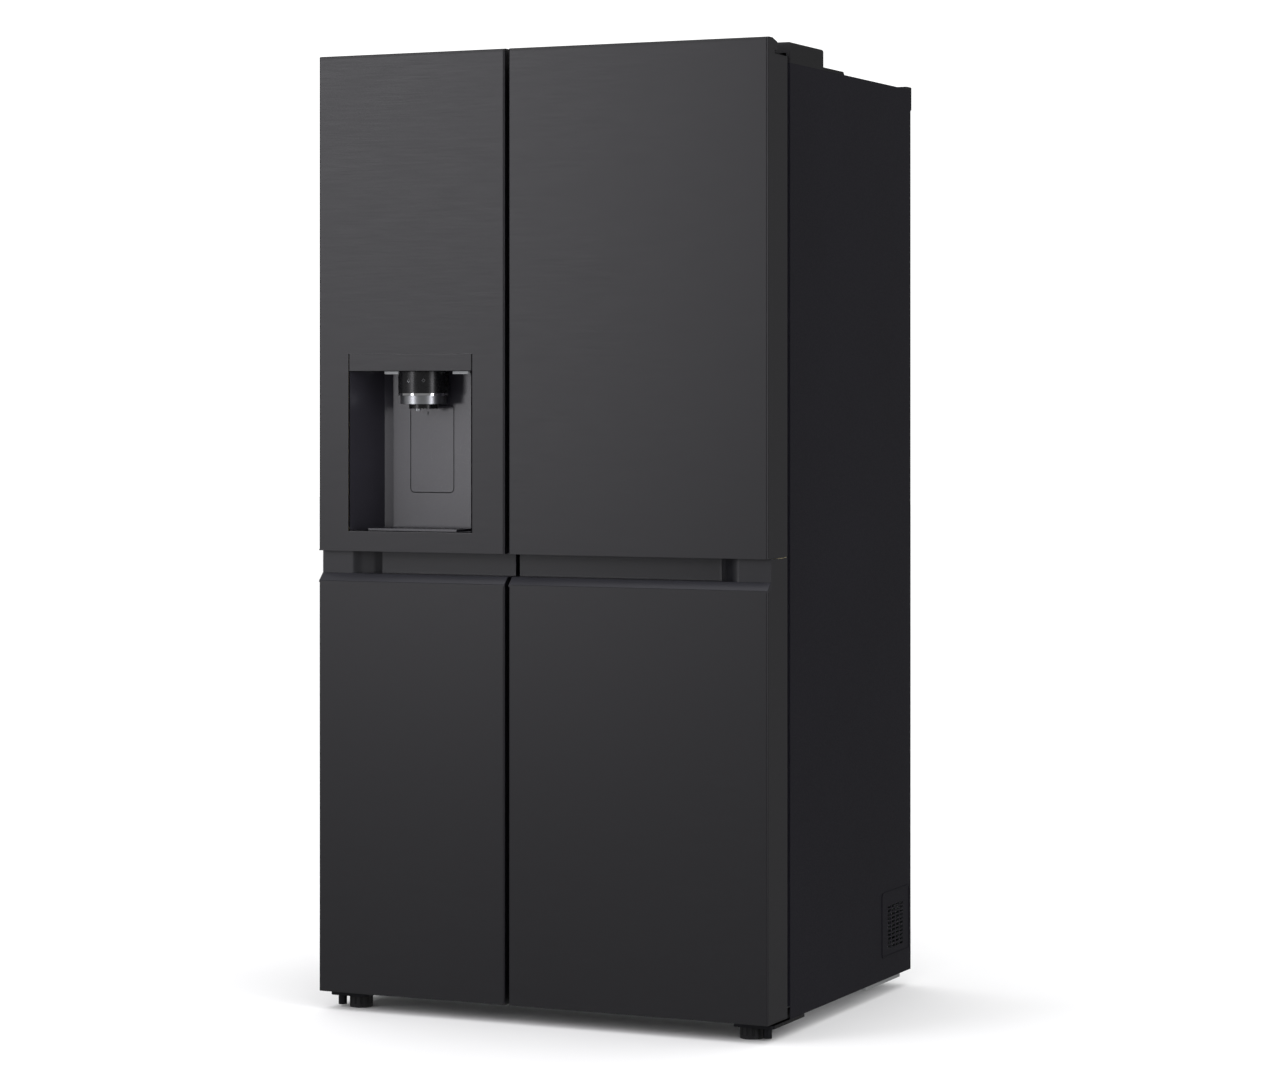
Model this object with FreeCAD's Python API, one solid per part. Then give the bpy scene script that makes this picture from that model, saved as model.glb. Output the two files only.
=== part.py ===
"""Side-by-side refrigerator with a water and ice dispenser, as an assembly of separate pieces.

Millimetres, +Z up. The fronts of the doors face -Y and +X is to the right of someone facing them.
The origin is on the floor, under the middle of the overall box. Everything is drawn with both doors shut.
"""

import FreeCAD, Part

import math
import os

from FreeCAD import Vector

OUT = "parts"
os.makedirs(OUT, exist_ok=True)

# ---------------------------------------------------------------- overall sizes
width = 913.0
depth = 735.0
height = 1790.0
case_top = height - 38.0  # top of the steel case, without the hinge covers
case_bottom = 30.0  # lower edge of the side panels
rear_bumper = 5.0  # how far the corner bumpers stand off the back
sheet = 1.0  # steel sheet of the case and the door skins
liner_wall = 2.0  # vacuum-formed plastic liners
foam_gap = 0.4  # parting line between neighbouring blocks of insulation
touch_gap = 0.3  # between pieces of different bodies that would otherwise touch
pin_clearance = 0.05  # radial running fit of pins, axles and shafts

left, right = -width / 2, width / 2
front, back = -depth / 2, depth / 2
case_back = back - rear_bumper

# ---------------------------------------------------------------- doors
door_thickness = 92.0
gasket_thickness = 13.5
freezer_door_width = 390.0
door_split = 8.5  # gap between the two doors
door_bottom = 34.0
lip_thickness = 45.0  # the raised front part of the door's top
lip_drop = 28.0  # from the lip down to the rear part of the door's top
lip_fall = 6.0  # how much lower the lip's rear edge is
edge_radius = 3.5  # upright front edges of the doors
bottom_cap = 3.0  # how much of the bottom cap shows below the skin
shoulder_cap = 4.0  # how much of the top cap shows above the skin's sides
skin_seam = 0.6  # seam between the upper and the lower skin

door_rear = front + door_thickness
case_front = door_rear + gasket_thickness
lip_rear = front + lip_thickness
shoulder = height - lip_drop
skin_top = height - lip_fall
skin_bottom = door_bottom + bottom_cap
split_left = left + freezer_door_width
split_right = split_left + door_split
gap_middle = (split_left + split_right) / 2

# ---------------------------------------------------------------- hinges, feet and rollers
hinge_x = right - 22.0  # the hinge pins, in from the door's outer side
hinge_y = front + 52.0
upper_pin_r = 5.0
lower_pin_r = 6.0
pin_engagement = 20.0  # how far each pin reaches into the door
bush_wall = 4.0
arm_half = 11.0  # half the width of the upper hinge arm
arm_thickness = 3.5
arm_bottom = shoulder + 1.5
arm_slot = 6.5  # height of the slot that the arm turns in, under the lip
arm_slot_y = hinge_y - 20.0
lower_plate = (22.0, 28.0)
lower_plate_y = (-334.0, -184.0)
foot_x = right - 56.5
foot_y = -305.0
foot_radius = 22.0
foot_height = 21.5
stud_r = 5.0
roller_x = right - 81.5
roller_y = 290.0
roller_radius = 22.0
roller_width = 18.0
axle_r = 4.0

# ---------------------------------------------------------------- handle pockets
pocket_bottom = 805.0  # top edge of the lower front panel
pocket_top = 862.0  # lower edge of the upper front panel
pocket_deep = 47.5  # depth where the fingers go in
pocket_shallow = 15.5  # depth at the outer ends
pocket_lip = 15.0  # height and depth of the sloping lower lip
pocket_end = 62.0  # length of the shallow end, from the door's outer side
pocket_curve = 52.0  # length of the S-curve from shallow to deep
pocket_wall = 2.5

# ---------------------------------------------------------------- compartments
side_wall = 45.0
freezer_side_wall = 50.0
top_wall = 50.0
divider_half = 30.0
rear_wall = 65.0
floor_z = 100.0  # floor of both compartments
foam_bottom = 52.0
step_y = 130.0  # the floor steps up here, over the machine room
step_z = 310.0
machine_top = 260.0
machine_front = 175.0

freezer_x = (left + freezer_side_wall, gap_middle - divider_half)
fridge_x = (gap_middle + divider_half, right - side_wall)
inside_back = case_back - rear_wall
inside_top = case_top - top_wall

# ---------------------------------------------------------------- inside of the doors
gasket_width = 18.0
gasket_inset = 4.5  # gasket's outer edge in from the hinge axis
gasket_free = 3.0  # gasket's outer edge in from the door's free side
gasket_z = (76.0, case_top - 26.0)
dyke_height = 39.5
dyke_width = 25.0
dyke_side_gap = 6.5  # dyke to the compartment wall, on the hinge side
dyke_swing_gap = 17.0  # the same on the free side, where the dyke swings past the divider
dyke_z = (floor_z + 16.0, inside_top - 16.0)
basket_wall = 2.5
basket_height = 105.0
basket_corner = 14.0

# ---------------------------------------------------------------- shelves and drawers
load_front = door_rear + 130.5  # front of the shelves and the drawers, behind the door's baskets
shelf_glass = 4.0
shelf_gap = 2.5
ledge = 12.0
drawer_wall = 2.5
drawer_gap = 32.0  # drawer's side to the compartment wall, so that it clears an open door
flange = 6.5  # the drawer's flanges rest on the liner's rails
rail = drawer_gap - 2.0  # how far each rail stands out from the wall
lower_drawer = (106.0, 290.0)
upper_drawer = (318.0, 478.0)
shelf_room = 200.0  # least height over a shelf
bin_shelf_z = inside_top - 372.0  # the freezer's top shelf carries the ice bin
freezer_shelf_z = (*[z for z in (500.0, 760.0, 1040.0) if z <= bin_shelf_z - shelf_room], bin_shelf_z)
fridge_shelf_z = [z for z in (500.0, 760.0, 1010.0, 1250.0, 1480.0) if z <= inside_top - shelf_room]
freezer_duct_y = 235.0
duct_sheet = 3.0
fridge_duct_depth = 34.0

# ---------------------------------------------------------------- dispenser
dispenser_x = left + 193.5
dispenser_width = 256.0
dispenser_z = (901.0, 1199.0)
dispenser_trim = 30.5  # height of the flat trim above the opening
dispenser_depth = 89.0
dispenser_taper = 33.0  # how far each side wall leans in by the back
dispenser_corner = 12.0
dispenser_wall = 2.5
recess_edge = 1.2  # how far the recess's edge sits behind the door's face
bulge_depth = 42.0  # the liner stands back this much behind the dispenser
bulge_z = (868.0, 1242.0)
head_y = front + 54.0
head_radius = 47.0
head_bottom = 1157.0
ring_height = 4.0
collar_bottom = 1137.0
collar_radius = 43.0
nozzle_base_radius = 27.0
nozzle_base_bottom = 1128.5
paddle_width = 90.0
paddle_z = (971.5, 1134.0)
paddle_thickness = 4.0
paddle_corner = 7.5
paddle_gap = 1.6
paddle_recess = 29.0  # free depth behind the paddle's face
paddle_pin_r = 2.5
paddle_pin_z = 1124.0

# ---------------------------------------------------------------- machine room
tray_x = right - 16.5
tray_y = (160.0, 346.0)
tray_z = 16.0
compressor_x = 215.0
compressor_y = 266.0
compressor_r = 72.0
fan_x = -95.0
fan_y = 266.0
fan_z = 132.0
fan_r = 70.0
fan_hub_r = 20.0
shaft_r = 3.0


# ================================================================ shape helpers
def box(x0, x1, y0, y1, z0, z1):
    return Part.makeBox(x1 - x0, y1 - y0, z1 - z0, Vector(x0, y0, z0))


def rod(radius, start, end):
    """Cylinder between two points."""
    axis = Vector(*end) - Vector(*start)
    return Part.makeCylinder(radius, axis.Length, Vector(*start), axis)


def prism_z(points, z0, z1):
    """Upright prism on a polygon of (x, y) points."""
    wire = Part.makePolygon([Vector(x, y, z0) for x, y in points + points[:1]])
    return Part.Face(wire).extrude(Vector(0, 0, z1 - z0))


def prism_x(points, x0, x1):
    """Prism along X on a polygon of (y, z) points."""
    wire = Part.makePolygon([Vector(x0, y, z) for y, z in points + points[:1]])
    return Part.Face(wire).extrude(Vector(x1 - x0, 0, 0))


def round_edges(shape, radius, wanted):
    """Fillets the straight edges for which wanted(middle, direction) is true."""
    picked = []
    for edge in shape.Edges:
        if "Line" not in edge.Curve.TypeId:
            continue
        first, last = edge.Vertexes[0].Point, edge.Vertexes[-1].Point
        if wanted((first + last) / 2, (last - first).normalize()):
            picked.append(edge)
    return shape.makeFillet(radius, picked)


def upright(middle, direction):
    return abs(direction.z) > 0.99


def fuse(*shapes):
    whole = shapes[0].multiFuse(list(shapes[1:])) if len(shapes) > 1 else shapes[0]
    return whole.removeSplitter()


def tub(x0, x1, y0, y1, z0, z1, wall, corner):
    """Open-topped box with rounded upright corners."""
    outer = round_edges(box(x0, x1, y0, y1, z0, z1), corner, upright)
    inner = box(x0 + wall, x1 - wall, y0 + wall, y1 - wall, z0 + wall, z1 + 1)
    return outer.cut(round_edges(inner, corner - wall, upright))


def ring_y(outer, inner, y0, y1):
    """Rectangular ring lying in XZ, from y0 to y1; outer and inner are (x0, x1, z0, z1)."""
    return box(outer[0], outer[1], y0, y1, outer[2], outer[3]).cut(
        box(inner[0], inner[1], y0 - 1, y1 + 1, inner[2], inner[3]))


def grown(rect, by):
    return rect[0] - by, rect[1] + by, rect[2] - by, rect[3] + by


def slots(columns, rows, make):
    """All the cutters that make(column, row) gives, as one compound."""
    return Part.makeCompound([make(i, j) for i in range(columns) for j in range(rows)])


def save(name, *shapes):
    solids = [solid for shape in shapes for solid in shape.Solids]
    whole = solids[0] if len(solids) == 1 else Part.makeCompound(solids)
    whole.exportStep(os.path.join(OUT, name + ".step"))
    volume = sum(s.Volume for s in solids) / 1000
    state = "" if all(s.isValid() and s.isClosed() for s in solids) else "  NOT VALID"
    print(f"{name}: {len(solids)} solids, {volume:.0f} cm3{state}")


# ================================================================ case
in_left, in_right = left + sheet, right - sheet

vent_pitch_y, vent_pitch_z = 21.7, 7.7
vent_columns, vent_rows = 4, 11
vent_first = Vector(0, 236.0, 87.0)
vent_slot = Vector(0, 16.5, 4.8)


def side_vent(x0, x1):
    """Grid of small slots low down in a side panel, where the machine room breathes."""
    def one(i, j):
        y = vent_first.y + i * vent_pitch_y
        z = vent_first.z + j * vent_pitch_z
        return box(x0, x1, y, y + vent_slot.y, z, z + vent_slot.z)
    return slots(vent_columns, vent_rows, one)


wrapper = box(left, right, case_front, case_back, case_bottom, case_top).cut(
    box(in_left, in_right, case_front - 1, case_back + 1, 0, case_top - sheet))
for x in (left, in_right):
    wrapper = wrapper.cut(side_vent(x - 1, x + sheet + 1))
save("case_wrapper", wrapper)

save("back_panel", box(in_left, in_right, case_back - sheet, case_back, machine_top, case_top - sheet))

frame_face = box(in_left, in_right, case_front, case_front + sheet, foam_bottom, case_top - sheet)
for x0, x1 in (freezer_x, fridge_x):
    frame_face = frame_face.cut(box(x0 - liner_wall, x1 + liner_wall, case_front - 1, case_front + 2,
                                    floor_z - liner_wall, inside_top + liner_wall))
save("front_frame", frame_face)

bulkhead_y, bulkhead_back = case_front + sheet, case_back - sheet
save("case_bottom", prism_x([
    (bulkhead_y, foam_bottom - sheet), (machine_front, foam_bottom - sheet),
    (machine_front, machine_top - sheet), (bulkhead_back, machine_top - sheet),
    (bulkhead_back, machine_top), (machine_front - sheet, machine_top),
    (machine_front - sheet, foam_bottom), (bulkhead_y, foam_bottom)], in_left, in_right))


def compartment(x0, x1, grow):
    """Space inside a liner, grown by grow on every side but the open front."""
    whole = box(x0 - grow, x1 + grow, case_front, inside_back + grow, floor_z - grow, inside_top + grow)
    under_step = box(x0 - 50, x1 + 50, step_y + grow, inside_back + 50, 0, step_z - grow)
    return whole.cut(under_step)


def ledges(x0, x1, z_top, y0, y1, reach, thickness=5.0):
    """Ledge on each side wall, with its top at z_top."""
    return [box(x0, x0 + reach, y0, y1, z_top - thickness, z_top),
            box(x1 - reach, x1, y0, y1, z_top - thickness, z_top)]


def liner(x0, x1, shelf_levels, shelf_back):
    shell = compartment(x0, x1, liner_wall).cut(compartment(x0, x1, 0))
    steps = []
    for z in shelf_levels:
        steps += ledges(x0, x1, z, load_front + 6, shelf_back, ledge)
    for bottom, top in (lower_drawer, upper_drawer):
        y1 = step_y - 3 if top < step_z else shelf_back
        steps += ledges(x0, x1, top - 4 - touch_gap, load_front + 2, y1, rail)
    return fuse(shell, *steps)


fridge_shelf_back = inside_back - fridge_duct_depth - 6
freezer_shelf_back = freezer_duct_y - 4
save("freezer_liner", liner(*freezer_x, freezer_shelf_z, freezer_shelf_back))
save("fridge_liner", liner(*fridge_x, fridge_shelf_z, fridge_shelf_back))

foam_front = case_front + sheet
foam_back = case_back - sheet
foam_x0, foam_x1 = freezer_x[0] - liner_wall, fridge_x[1] + liner_wall
liner_back = inside_back + liner_wall
g = foam_gap
save("case_foam",
     box(in_left, foam_x0, foam_front, machine_front - sheet, foam_bottom, case_top - sheet),
     box(in_left, foam_x0, machine_front - sheet + g, foam_back, machine_top, case_top - sheet),
     box(foam_x1, in_right, foam_front, machine_front - sheet, foam_bottom, case_top - sheet),
     box(foam_x1, in_right, machine_front - sheet + g, foam_back, machine_top, case_top - sheet),
     box(foam_x0 + g, foam_x1 - g, foam_front, foam_back, inside_top + liner_wall, case_top - sheet),
     box(foam_x0 + g, foam_x1 - g, liner_back, foam_back, machine_top, inside_top + liner_wall - g),
     box(foam_x0 + g, foam_x1 - g, foam_front, machine_front - sheet, foam_bottom, floor_z - liner_wall),
     box(foam_x0 + g, foam_x1 - g, step_y + liner_wall, machine_front - sheet,
         floor_z - liner_wall + g, step_z - liner_wall),
     box(foam_x0 + g, foam_x1 - g, machine_front - sheet + g, liner_back - g, machine_top,
         step_z - liner_wall),
     box(freezer_x[1] + liner_wall, fridge_x[0] - liner_wall, foam_front, step_y + liner_wall - g,
         floor_z - liner_wall + g, inside_top + liner_wall - g),
     box(freezer_x[1] + liner_wall, fridge_x[0] - liner_wall, step_y + liner_wall, liner_back - g,
         step_z - liner_wall + g, inside_top + liner_wall - g))

# ---------------------------------------------------------------- rear corner bumpers, top covers
bumper_width, bumper_depth, bumper_z = 40.0, 27.0, (case_top - 40.0, case_top + 5.0)
case_block = box(left, right, front, case_back, 0, case_top)
bumpers = []
for side in (-1, 1):
    x0, x1 = sorted((side * right, side * (right - bumper_width)))
    bumpers.append(box(x0, x1, back - bumper_depth, back, *bumper_z).cut(case_block))
save("corner_bumpers", *bumpers)

hinge_cover_width, hinge_cover_y = 92.0, (case_front, -96.0)
cover_wall = 2.5
covers = []
for side in (-1, 1):
    x0, x1 = sorted((side * right, side * (right - hinge_cover_width)))
    cover = round_edges(box(x0, x1, *hinge_cover_y, case_top, height), 5.0,
                        lambda m, d: m.z > height - 1 or (upright(m, d) and m.y > case_front + 1))
    hollow = box(x0 + cover_wall, x1 - cover_wall, hinge_cover_y[0] + cover_wall,
                 hinge_cover_y[1] - cover_wall, case_top - 1, height - cover_wall)
    arm_window = box(side * hinge_x - arm_half - 3, side * hinge_x + arm_half + 3, case_front - 1,
                     case_front + cover_wall + 1, case_top - 1, arm_bottom + arm_thickness + 3)
    covers.append(cover.cut(hollow).cut(arm_window))
save("hinge_covers", *covers)

top_cover_x, top_cover_y, top_cover_height = (right - 160.0, right - 30.0), (-92.0, 90.0), 13.0
top_cover = prism_x([(top_cover_y[0], case_top), (top_cover_y[1], case_top),
                     (top_cover_y[1] - 12, case_top + top_cover_height),
                     (top_cover_y[0], case_top + top_cover_height)], *top_cover_x)
save("top_cover", top_cover.cut(box(top_cover_x[0] + 2, top_cover_x[1] - 2, top_cover_y[0] + 2,
                                    top_cover_y[1] - 14, case_top - 1, case_top + top_cover_height - 2)))

# ---------------------------------------------------------------- hinges and feet
uppers, lowers = [], []
for side in (-1, 1):
    x = side * hinge_x
    plate = box(x - 34 if side > 0 else x - 16, x + 16 if side > 0 else x + 34,
                case_front + 5, -120.0, case_top, case_top + arm_thickness)
    riser = box(x - arm_half, x + arm_half, case_front + 5, case_front + 5 + arm_thickness,
                case_top, arm_bottom + arm_thickness)
    arm = box(x - arm_half, x + arm_half, hinge_y, case_front + 5 + arm_thickness,
              arm_bottom, arm_bottom + arm_thickness)
    nose = rod(arm_half, (x, hinge_y, arm_bottom), (x, hinge_y, arm_bottom + arm_thickness))
    pin = rod(upper_pin_r, (x, hinge_y, shoulder - pin_engagement), (x, hinge_y, arm_bottom + 1))
    uppers.append(fuse(plate, riser, arm, nose, pin))

    x0, x1 = sorted((side * (right - 4), side * (right - 84)))
    bracket = round_edges(box(x0, x1, *lower_plate_y, *lower_plate), 10.0,
                          lambda m, d: upright(m, d) and m.y < foot_y)
    pin = rod(lower_pin_r, (x, hinge_y, lower_plate[0] + 1), (x, hinge_y, door_bottom + pin_engagement))
    leg = rod(8.0, (x, hinge_y, 3.0), (x, hinge_y, lower_plate[0] + 1))
    stud = rod(stud_r, (side * foot_x, foot_y, 4.0), (side * foot_x, foot_y, lower_plate[0] + 1))
    lowers.append(fuse(bracket, pin, leg, stud))
save("upper_hinges", *uppers)
save("lower_hinges", *lowers)

for name, side in (("left_foot", -1), ("right_foot", 1)):
    x = side * foot_x
    foot = rod(foot_radius, (x, foot_y, 0), (x, foot_y, foot_height))
    grips = [(x + (foot_radius + 0.4) * math.cos(k * math.pi / 6),
              foot_y + (foot_radius + 0.4) * math.sin(k * math.pi / 6)) for k in range(12)]
    grooves = [rod(2.2, (gx, gy, 6), (gx, gy, foot_height + 1)) for gx, gy in grips]
    bore = rod(stud_r + pin_clearance, (x, foot_y, 3.0), (x, foot_y, foot_height + 1))
    save(name, foot.cut(Part.makeCompound(grooves)).cut(bore))

# ---------------------------------------------------------------- base frame and compressor tray
base_top = foam_bottom - sheet
beam = box(left + 9.5, right - 9.5, case_front + 4, -184.0, lower_plate[1], base_top).cut(
    box(left + 11.5, right - 11.5, case_front + 6, -186.0, 0, base_top - 2))
rails = []
for side in (-1, 1):
    x0, x1 = sorted((side * (right - 9.5), side * (right - 31.5)))
    rail = box(x0, x1, -186.0, tray_y[0] - 4, case_bottom + 4, base_top)
    rails.append(rail.cut(box(x0 + 2, x1 - 2, -188.0, tray_y[0], 0, base_top - 2)))
save("base_frame", fuse(beam, *rails))

tray_sheet = 2.0
tray_parts = [box(-tray_x, tray_x, *tray_y, tray_z, tray_z + tray_sheet),
              box(-tray_x, tray_x, tray_y[0], tray_y[0] + tray_sheet, tray_z, base_top),
              box(-tray_x, tray_x, tray_y[1] - tray_sheet, tray_y[1], tray_z, 40.0)]
cuts, axles = [], []
for side in (-1, 1):
    x0, x1 = sorted((side * tray_x, side * (tray_x - tray_sheet)))
    tray_parts.append(box(x0, x1, *tray_y, tray_z, 50.0))
    x0, x1 = sorted((side * in_right, side * (tray_x - tray_sheet)))
    tray_parts.append(box(x0, x1, *tray_y, 48.0, 50.0))
    half = roller_width / 2 + 2
    for x in (side * roller_x - half - tray_sheet, side * roller_x + half):
        tray_parts.append(box(x, x + tray_sheet, roller_y - 14, roller_y + 14, tray_z, 34.0))
    cuts.append(box(side * roller_x - half, side * roller_x + half, roller_y - roller_radius - 3,
                    roller_y + roller_radius + 3, 0, tray_z + tray_sheet + 1))
    reach = half + tray_sheet + 4
    axle = rod(axle_r, (side * roller_x - reach, roller_y, roller_radius),
               (side * roller_x + reach, roller_y, roller_radius))
    axles.append(axle)
for k in range(9):
    x = -400 + k * 100
    tray_parts.append(box(x - 8, x + 8, tray_y[0] + 12, tray_y[0] + 60, tray_z - 2.5, tray_z + 1))
save("compressor_tray", fuse(*tray_parts).cut(Part.makeCompound(cuts + axles)))
save("roller_axles", *axles)

for name, side in (("left_roller", -1), ("right_roller", 1)):
    x = side * roller_x
    wheel = rod(roller_radius, (x - roller_width / 2, roller_y, roller_radius),
                (x + roller_width / 2, roller_y, roller_radius))
    wheel = wheel.cut(rod(axle_r + pin_clearance, (x - 20, roller_y, roller_radius),
                          (x + 20, roller_y, roller_radius)))
    for x0 in (x - roller_width / 2 - 1, x + roller_width / 2 - 4):
        wheel = wheel.cut(rod(roller_radius - 4, (x0, roller_y, roller_radius),
                              (x0 + 5, roller_y, roller_radius))
                          .cut(rod(axle_r + 4, (x0, roller_y, roller_radius),
                                   (x0 + 5, roller_y, roller_radius))))
    save(name, wheel)

cover_panel = box(in_left, in_right, case_back - sheet, case_back, case_bottom + 1, machine_top - touch_gap)
cover_panel = cover_panel.cut(slots(16, 6, lambda i, j: box(
    -400 + i * 50, -364 + i * 50, case_back - 3, case_back + 1, 80 + j * 24, 90 + j * 24)))
inlet = Vector(390.0, 0, 50.0)
inlet_r = 12.0
save("machine_room_cover", cover_panel.cut(rod(inlet_r + touch_gap, (inlet.x, case_back - 5, inlet.z),
                                               (inlet.x, back, inlet.z))))

# ---------------------------------------------------------------- refrigeration
def circle_edges(shape):
    return [e for e in shape.Edges if "Circle" in e.Curve.TypeId]


shell = rod(compressor_r, (compressor_x, compressor_y, 38), (compressor_x, compressor_y, 196))
shell = shell.makeFillet(26.0, circle_edges(shell))
base_plate = box(compressor_x - 105, compressor_x + 105, compressor_y - 62, compressor_y + 62, 34, 40)
mounts = [rod(11, (compressor_x + sx * 90, compressor_y + sy * 48, tray_z + tray_sheet),
              (compressor_x + sx * 90, compressor_y + sy * 48, 35)) for sx in (-1, 1) for sy in (-1, 1)]
stub = rod(4, (compressor_x - 40, compressor_y, 150), (compressor_x - 100, compressor_y, 150))
terminal_box = box(compressor_x + 55, compressor_x + 92, compressor_y - 30, compressor_y + 30, 80, 140)
save("compressor", fuse(shell, base_plate, stub, terminal_box, *mounts))


def finned_coil(x0, x1, y0, y1, z0, z1, fins, rows):
    """Finned tube coil: plates across X with straight tubes through them and end bends."""
    pitch = (x1 - x0) / fins
    plates = [box(x0 + (k + 0.5) * pitch - 0.6, x0 + (k + 0.5) * pitch + 0.6, y0, y1, z0, z1)
              for k in range(fins)]
    step = (z1 - z0) / rows
    middle = (y0 + y1) / 2
    levels = [z0 + (k + 0.5) * step for k in range(rows)]
    tubes = [rod(4, (x0 - 8, middle, z), (x1 + 8, middle, z)) for z in levels]
    bends = []
    for k in range(rows - 1):
        x = x1 + 4 if k % 2 == 0 else x0 - 4
        bends.append(rod(4, (x, middle, levels[k]), (x, middle, levels[k + 1])))
    return fuse(*plates, *tubes, *bends)


condenser_legs = [box(x, x + 12, 255, 275, tray_z + tray_sheet, 60) for x in (-338, -254)]
save("condenser", fuse(finned_coil(-390, -170, 200, 330, 52, 232, 12, 6), *condenser_legs))
save("evaporator", finned_coil(freezer_x[0] + 30, freezer_x[1] - 30, freezer_duct_y + 12,
                               inside_back, step_z + 20, step_z + 220, 14, 6))

shroud = box(fan_x - 22, fan_x - 18, machine_front + 2, tray_y[1] - 4, tray_z + tray_sheet, 245)
shroud = shroud.cut(rod(fan_r + 5, (fan_x - 30, fan_y, fan_z), (fan_x, fan_y, fan_z)))
posts = [box(fan_x - 20, fan_x + 34, fan_y + sy * 66 - 4, fan_y + sy * 66 + 4, fan_z + sz * 66 - 4,
             fan_z + sz * 66 + 4) for sy, sz in ((-1, -1), (-1, 1), (1, -1), (1, 1))]
struts = [Part.makeBox(4, 190, 9, Vector(fan_x + 30, fan_y - 95, fan_z - 4.5)) for k in (0, 1)]
for k, strut in enumerate(struts):
    strut.rotate(Vector(0, fan_y, fan_z), Vector(1, 0, 0), 45 + 90 * k)
motor = rod(26, (fan_x + 22, fan_y, fan_z), (fan_x + 56, fan_y, fan_z))
spindle = rod(shaft_r, (fan_x - 14, fan_y, fan_z), (fan_x + 30, fan_y, fan_z))
save("fan_motor", fuse(shroud, motor, spindle, *posts, *struts))

blades = []
for k in range(5):
    blade = box(fan_x - 1, fan_x + 1, fan_y + fan_hub_r - 4, fan_y + fan_r, fan_z - 17, fan_z + 17)
    blade.rotate(Vector(fan_x, fan_y, fan_z), Vector(0, 1, 0), 28)
    blade.rotate(Vector(fan_x, fan_y, fan_z), Vector(1, 0, 0), 72 * k)
    blades.append(blade)
hub = rod(fan_hub_r, (fan_x - 10, fan_y, fan_z), (fan_x + 12, fan_y, fan_z))
save("condenser_fan", fuse(hub, *blades).cut(
    rod(shaft_r + pin_clearance, (fan_x - 20, fan_y, fan_z), (fan_x + 20, fan_y, fan_z))))

freezer_cover = box(freezer_x[0] + 1, freezer_x[1] - 1, freezer_duct_y, freezer_duct_y + duct_sheet,
                    step_z + 1, inside_top - 1)
freezer_cover = freezer_cover.cut(slots(3, 4, lambda i, j: box(
    freezer_x[0] + 40 + i * 90, freezer_x[0] + 95 + i * 90, freezer_duct_y - 1, freezer_duct_y + 9,
    620 + j * 270, 632 + j * 270)))
duct_middle = (fridge_x[0] + fridge_x[1]) / 2
fridge_cover = box(duct_middle - 85, duct_middle + 85, inside_back - fridge_duct_depth, inside_back,
                   step_z + 20, inside_top - 20)
fridge_cover = fridge_cover.cut(box(duct_middle - 85 + duct_sheet, duct_middle + 85 - duct_sheet,
                                    inside_back - fridge_duct_depth + duct_sheet, inside_back + 1,
                                    step_z + 20 + duct_sheet, inside_top - 20 - duct_sheet))
fridge_cover = fridge_cover.cut(slots(2, 5, lambda i, j: box(
    duct_middle - 65 + i * 75, duct_middle - 10 + i * 75, inside_back - fridge_duct_depth - 1,
    inside_back - fridge_duct_depth + 9, 560 + j * 240, 570 + j * 240)))
save("air_ducts", freezer_cover, fridge_cover)

# ---------------------------------------------------------------- shelves, drawers, ice
def glass_shelf(span, z, y1):
    plate = box(span[0] + shelf_gap, span[1] - shelf_gap, load_front, y1, z, z + shelf_glass)
    return round_edges(plate, 12.0, lambda m, d: upright(m, d) and m.y < 0)


save("glass_shelves",
     *[glass_shelf(freezer_x, z, freezer_shelf_back) for z in freezer_shelf_z],
     *[glass_shelf(fridge_x, z, fridge_shelf_back) for z in fridge_shelf_z])


def drawer(span, levels, y1):
    """Open bin with a flange along each side, which rests on the liner's ledges."""
    x0, x1 = span[0] + drawer_gap, span[1] - drawer_gap
    z0, z1 = levels
    body = tub(x0, x1, load_front, y1, z0, z1, drawer_wall, 10.0)
    flanges = [box(x0 - flange, x0 + 1, load_front + 12, y1 - 12, z1 - 4, z1),
               box(x1 - 1, x1 + flange, load_front + 12, y1 - 12, z1 - 4, z1)]
    grip = box((x0 + x1) / 2 - 60, (x0 + x1) / 2 + 60, load_front + 1, load_front + 22, z1 - 14, z1 - 11)
    return fuse(body, grip, *flanges)


lower_back = step_y - 6
save("lower_freezer_drawer", drawer(freezer_x, lower_drawer, lower_back))
save("upper_freezer_drawer", drawer(freezer_x, upper_drawer, freezer_shelf_back - 6))
save("lower_crisper", drawer(fridge_x, lower_drawer, lower_back))
save("upper_crisper", drawer(fridge_x, upper_drawer, fridge_shelf_back - 6))

bin_x = (freezer_x[0] + 28, freezer_x[1] - 28)
bin_y = (load_front + 4, 150.0)
bin_z = (freezer_shelf_z[-1] + shelf_glass, freezer_shelf_z[-1] + 150.0)
auger_x, auger_z, auger_r = (bin_x[0] + bin_x[1]) / 2, bin_z[0] + 50.0, 38.0
ice_bin = tub(*bin_x, *bin_y, *bin_z, 3.0, 16.0)
save("ice_bin", ice_bin.cut(rod(5 + pin_clearance, (auger_x, bin_y[0] - 5, auger_z),
                                (auger_x, bin_y[1] + 5, auger_z))))

auger = [rod(5, (auger_x, bin_y[0] + 0.5, auger_z), (auger_x, bin_y[1] + 24, auger_z))]
for k in range(10):
    vane = box(auger_x - 4, auger_x + auger_r, bin_y[0] + 22 + 26 * k, bin_y[0] + 25 + 26 * k,
               auger_z - 8, auger_z + 8)
    vane.rotate(Vector(auger_x, 0, auger_z), Vector(0, 1, 0), 55 * k)
    auger.append(vane)
save("ice_auger", fuse(*auger))

motor_box = box(auger_x - 55, auger_x + 55, bin_y[1] + 4, freezer_duct_y, bin_z[0], bin_z[0] + 100)
save("auger_motor", motor_box.cut(rod(5 + pin_clearance, (auger_x, bin_y[1], auger_z),
                                      (auger_x, bin_y[1] + 25, auger_z))))

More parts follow.
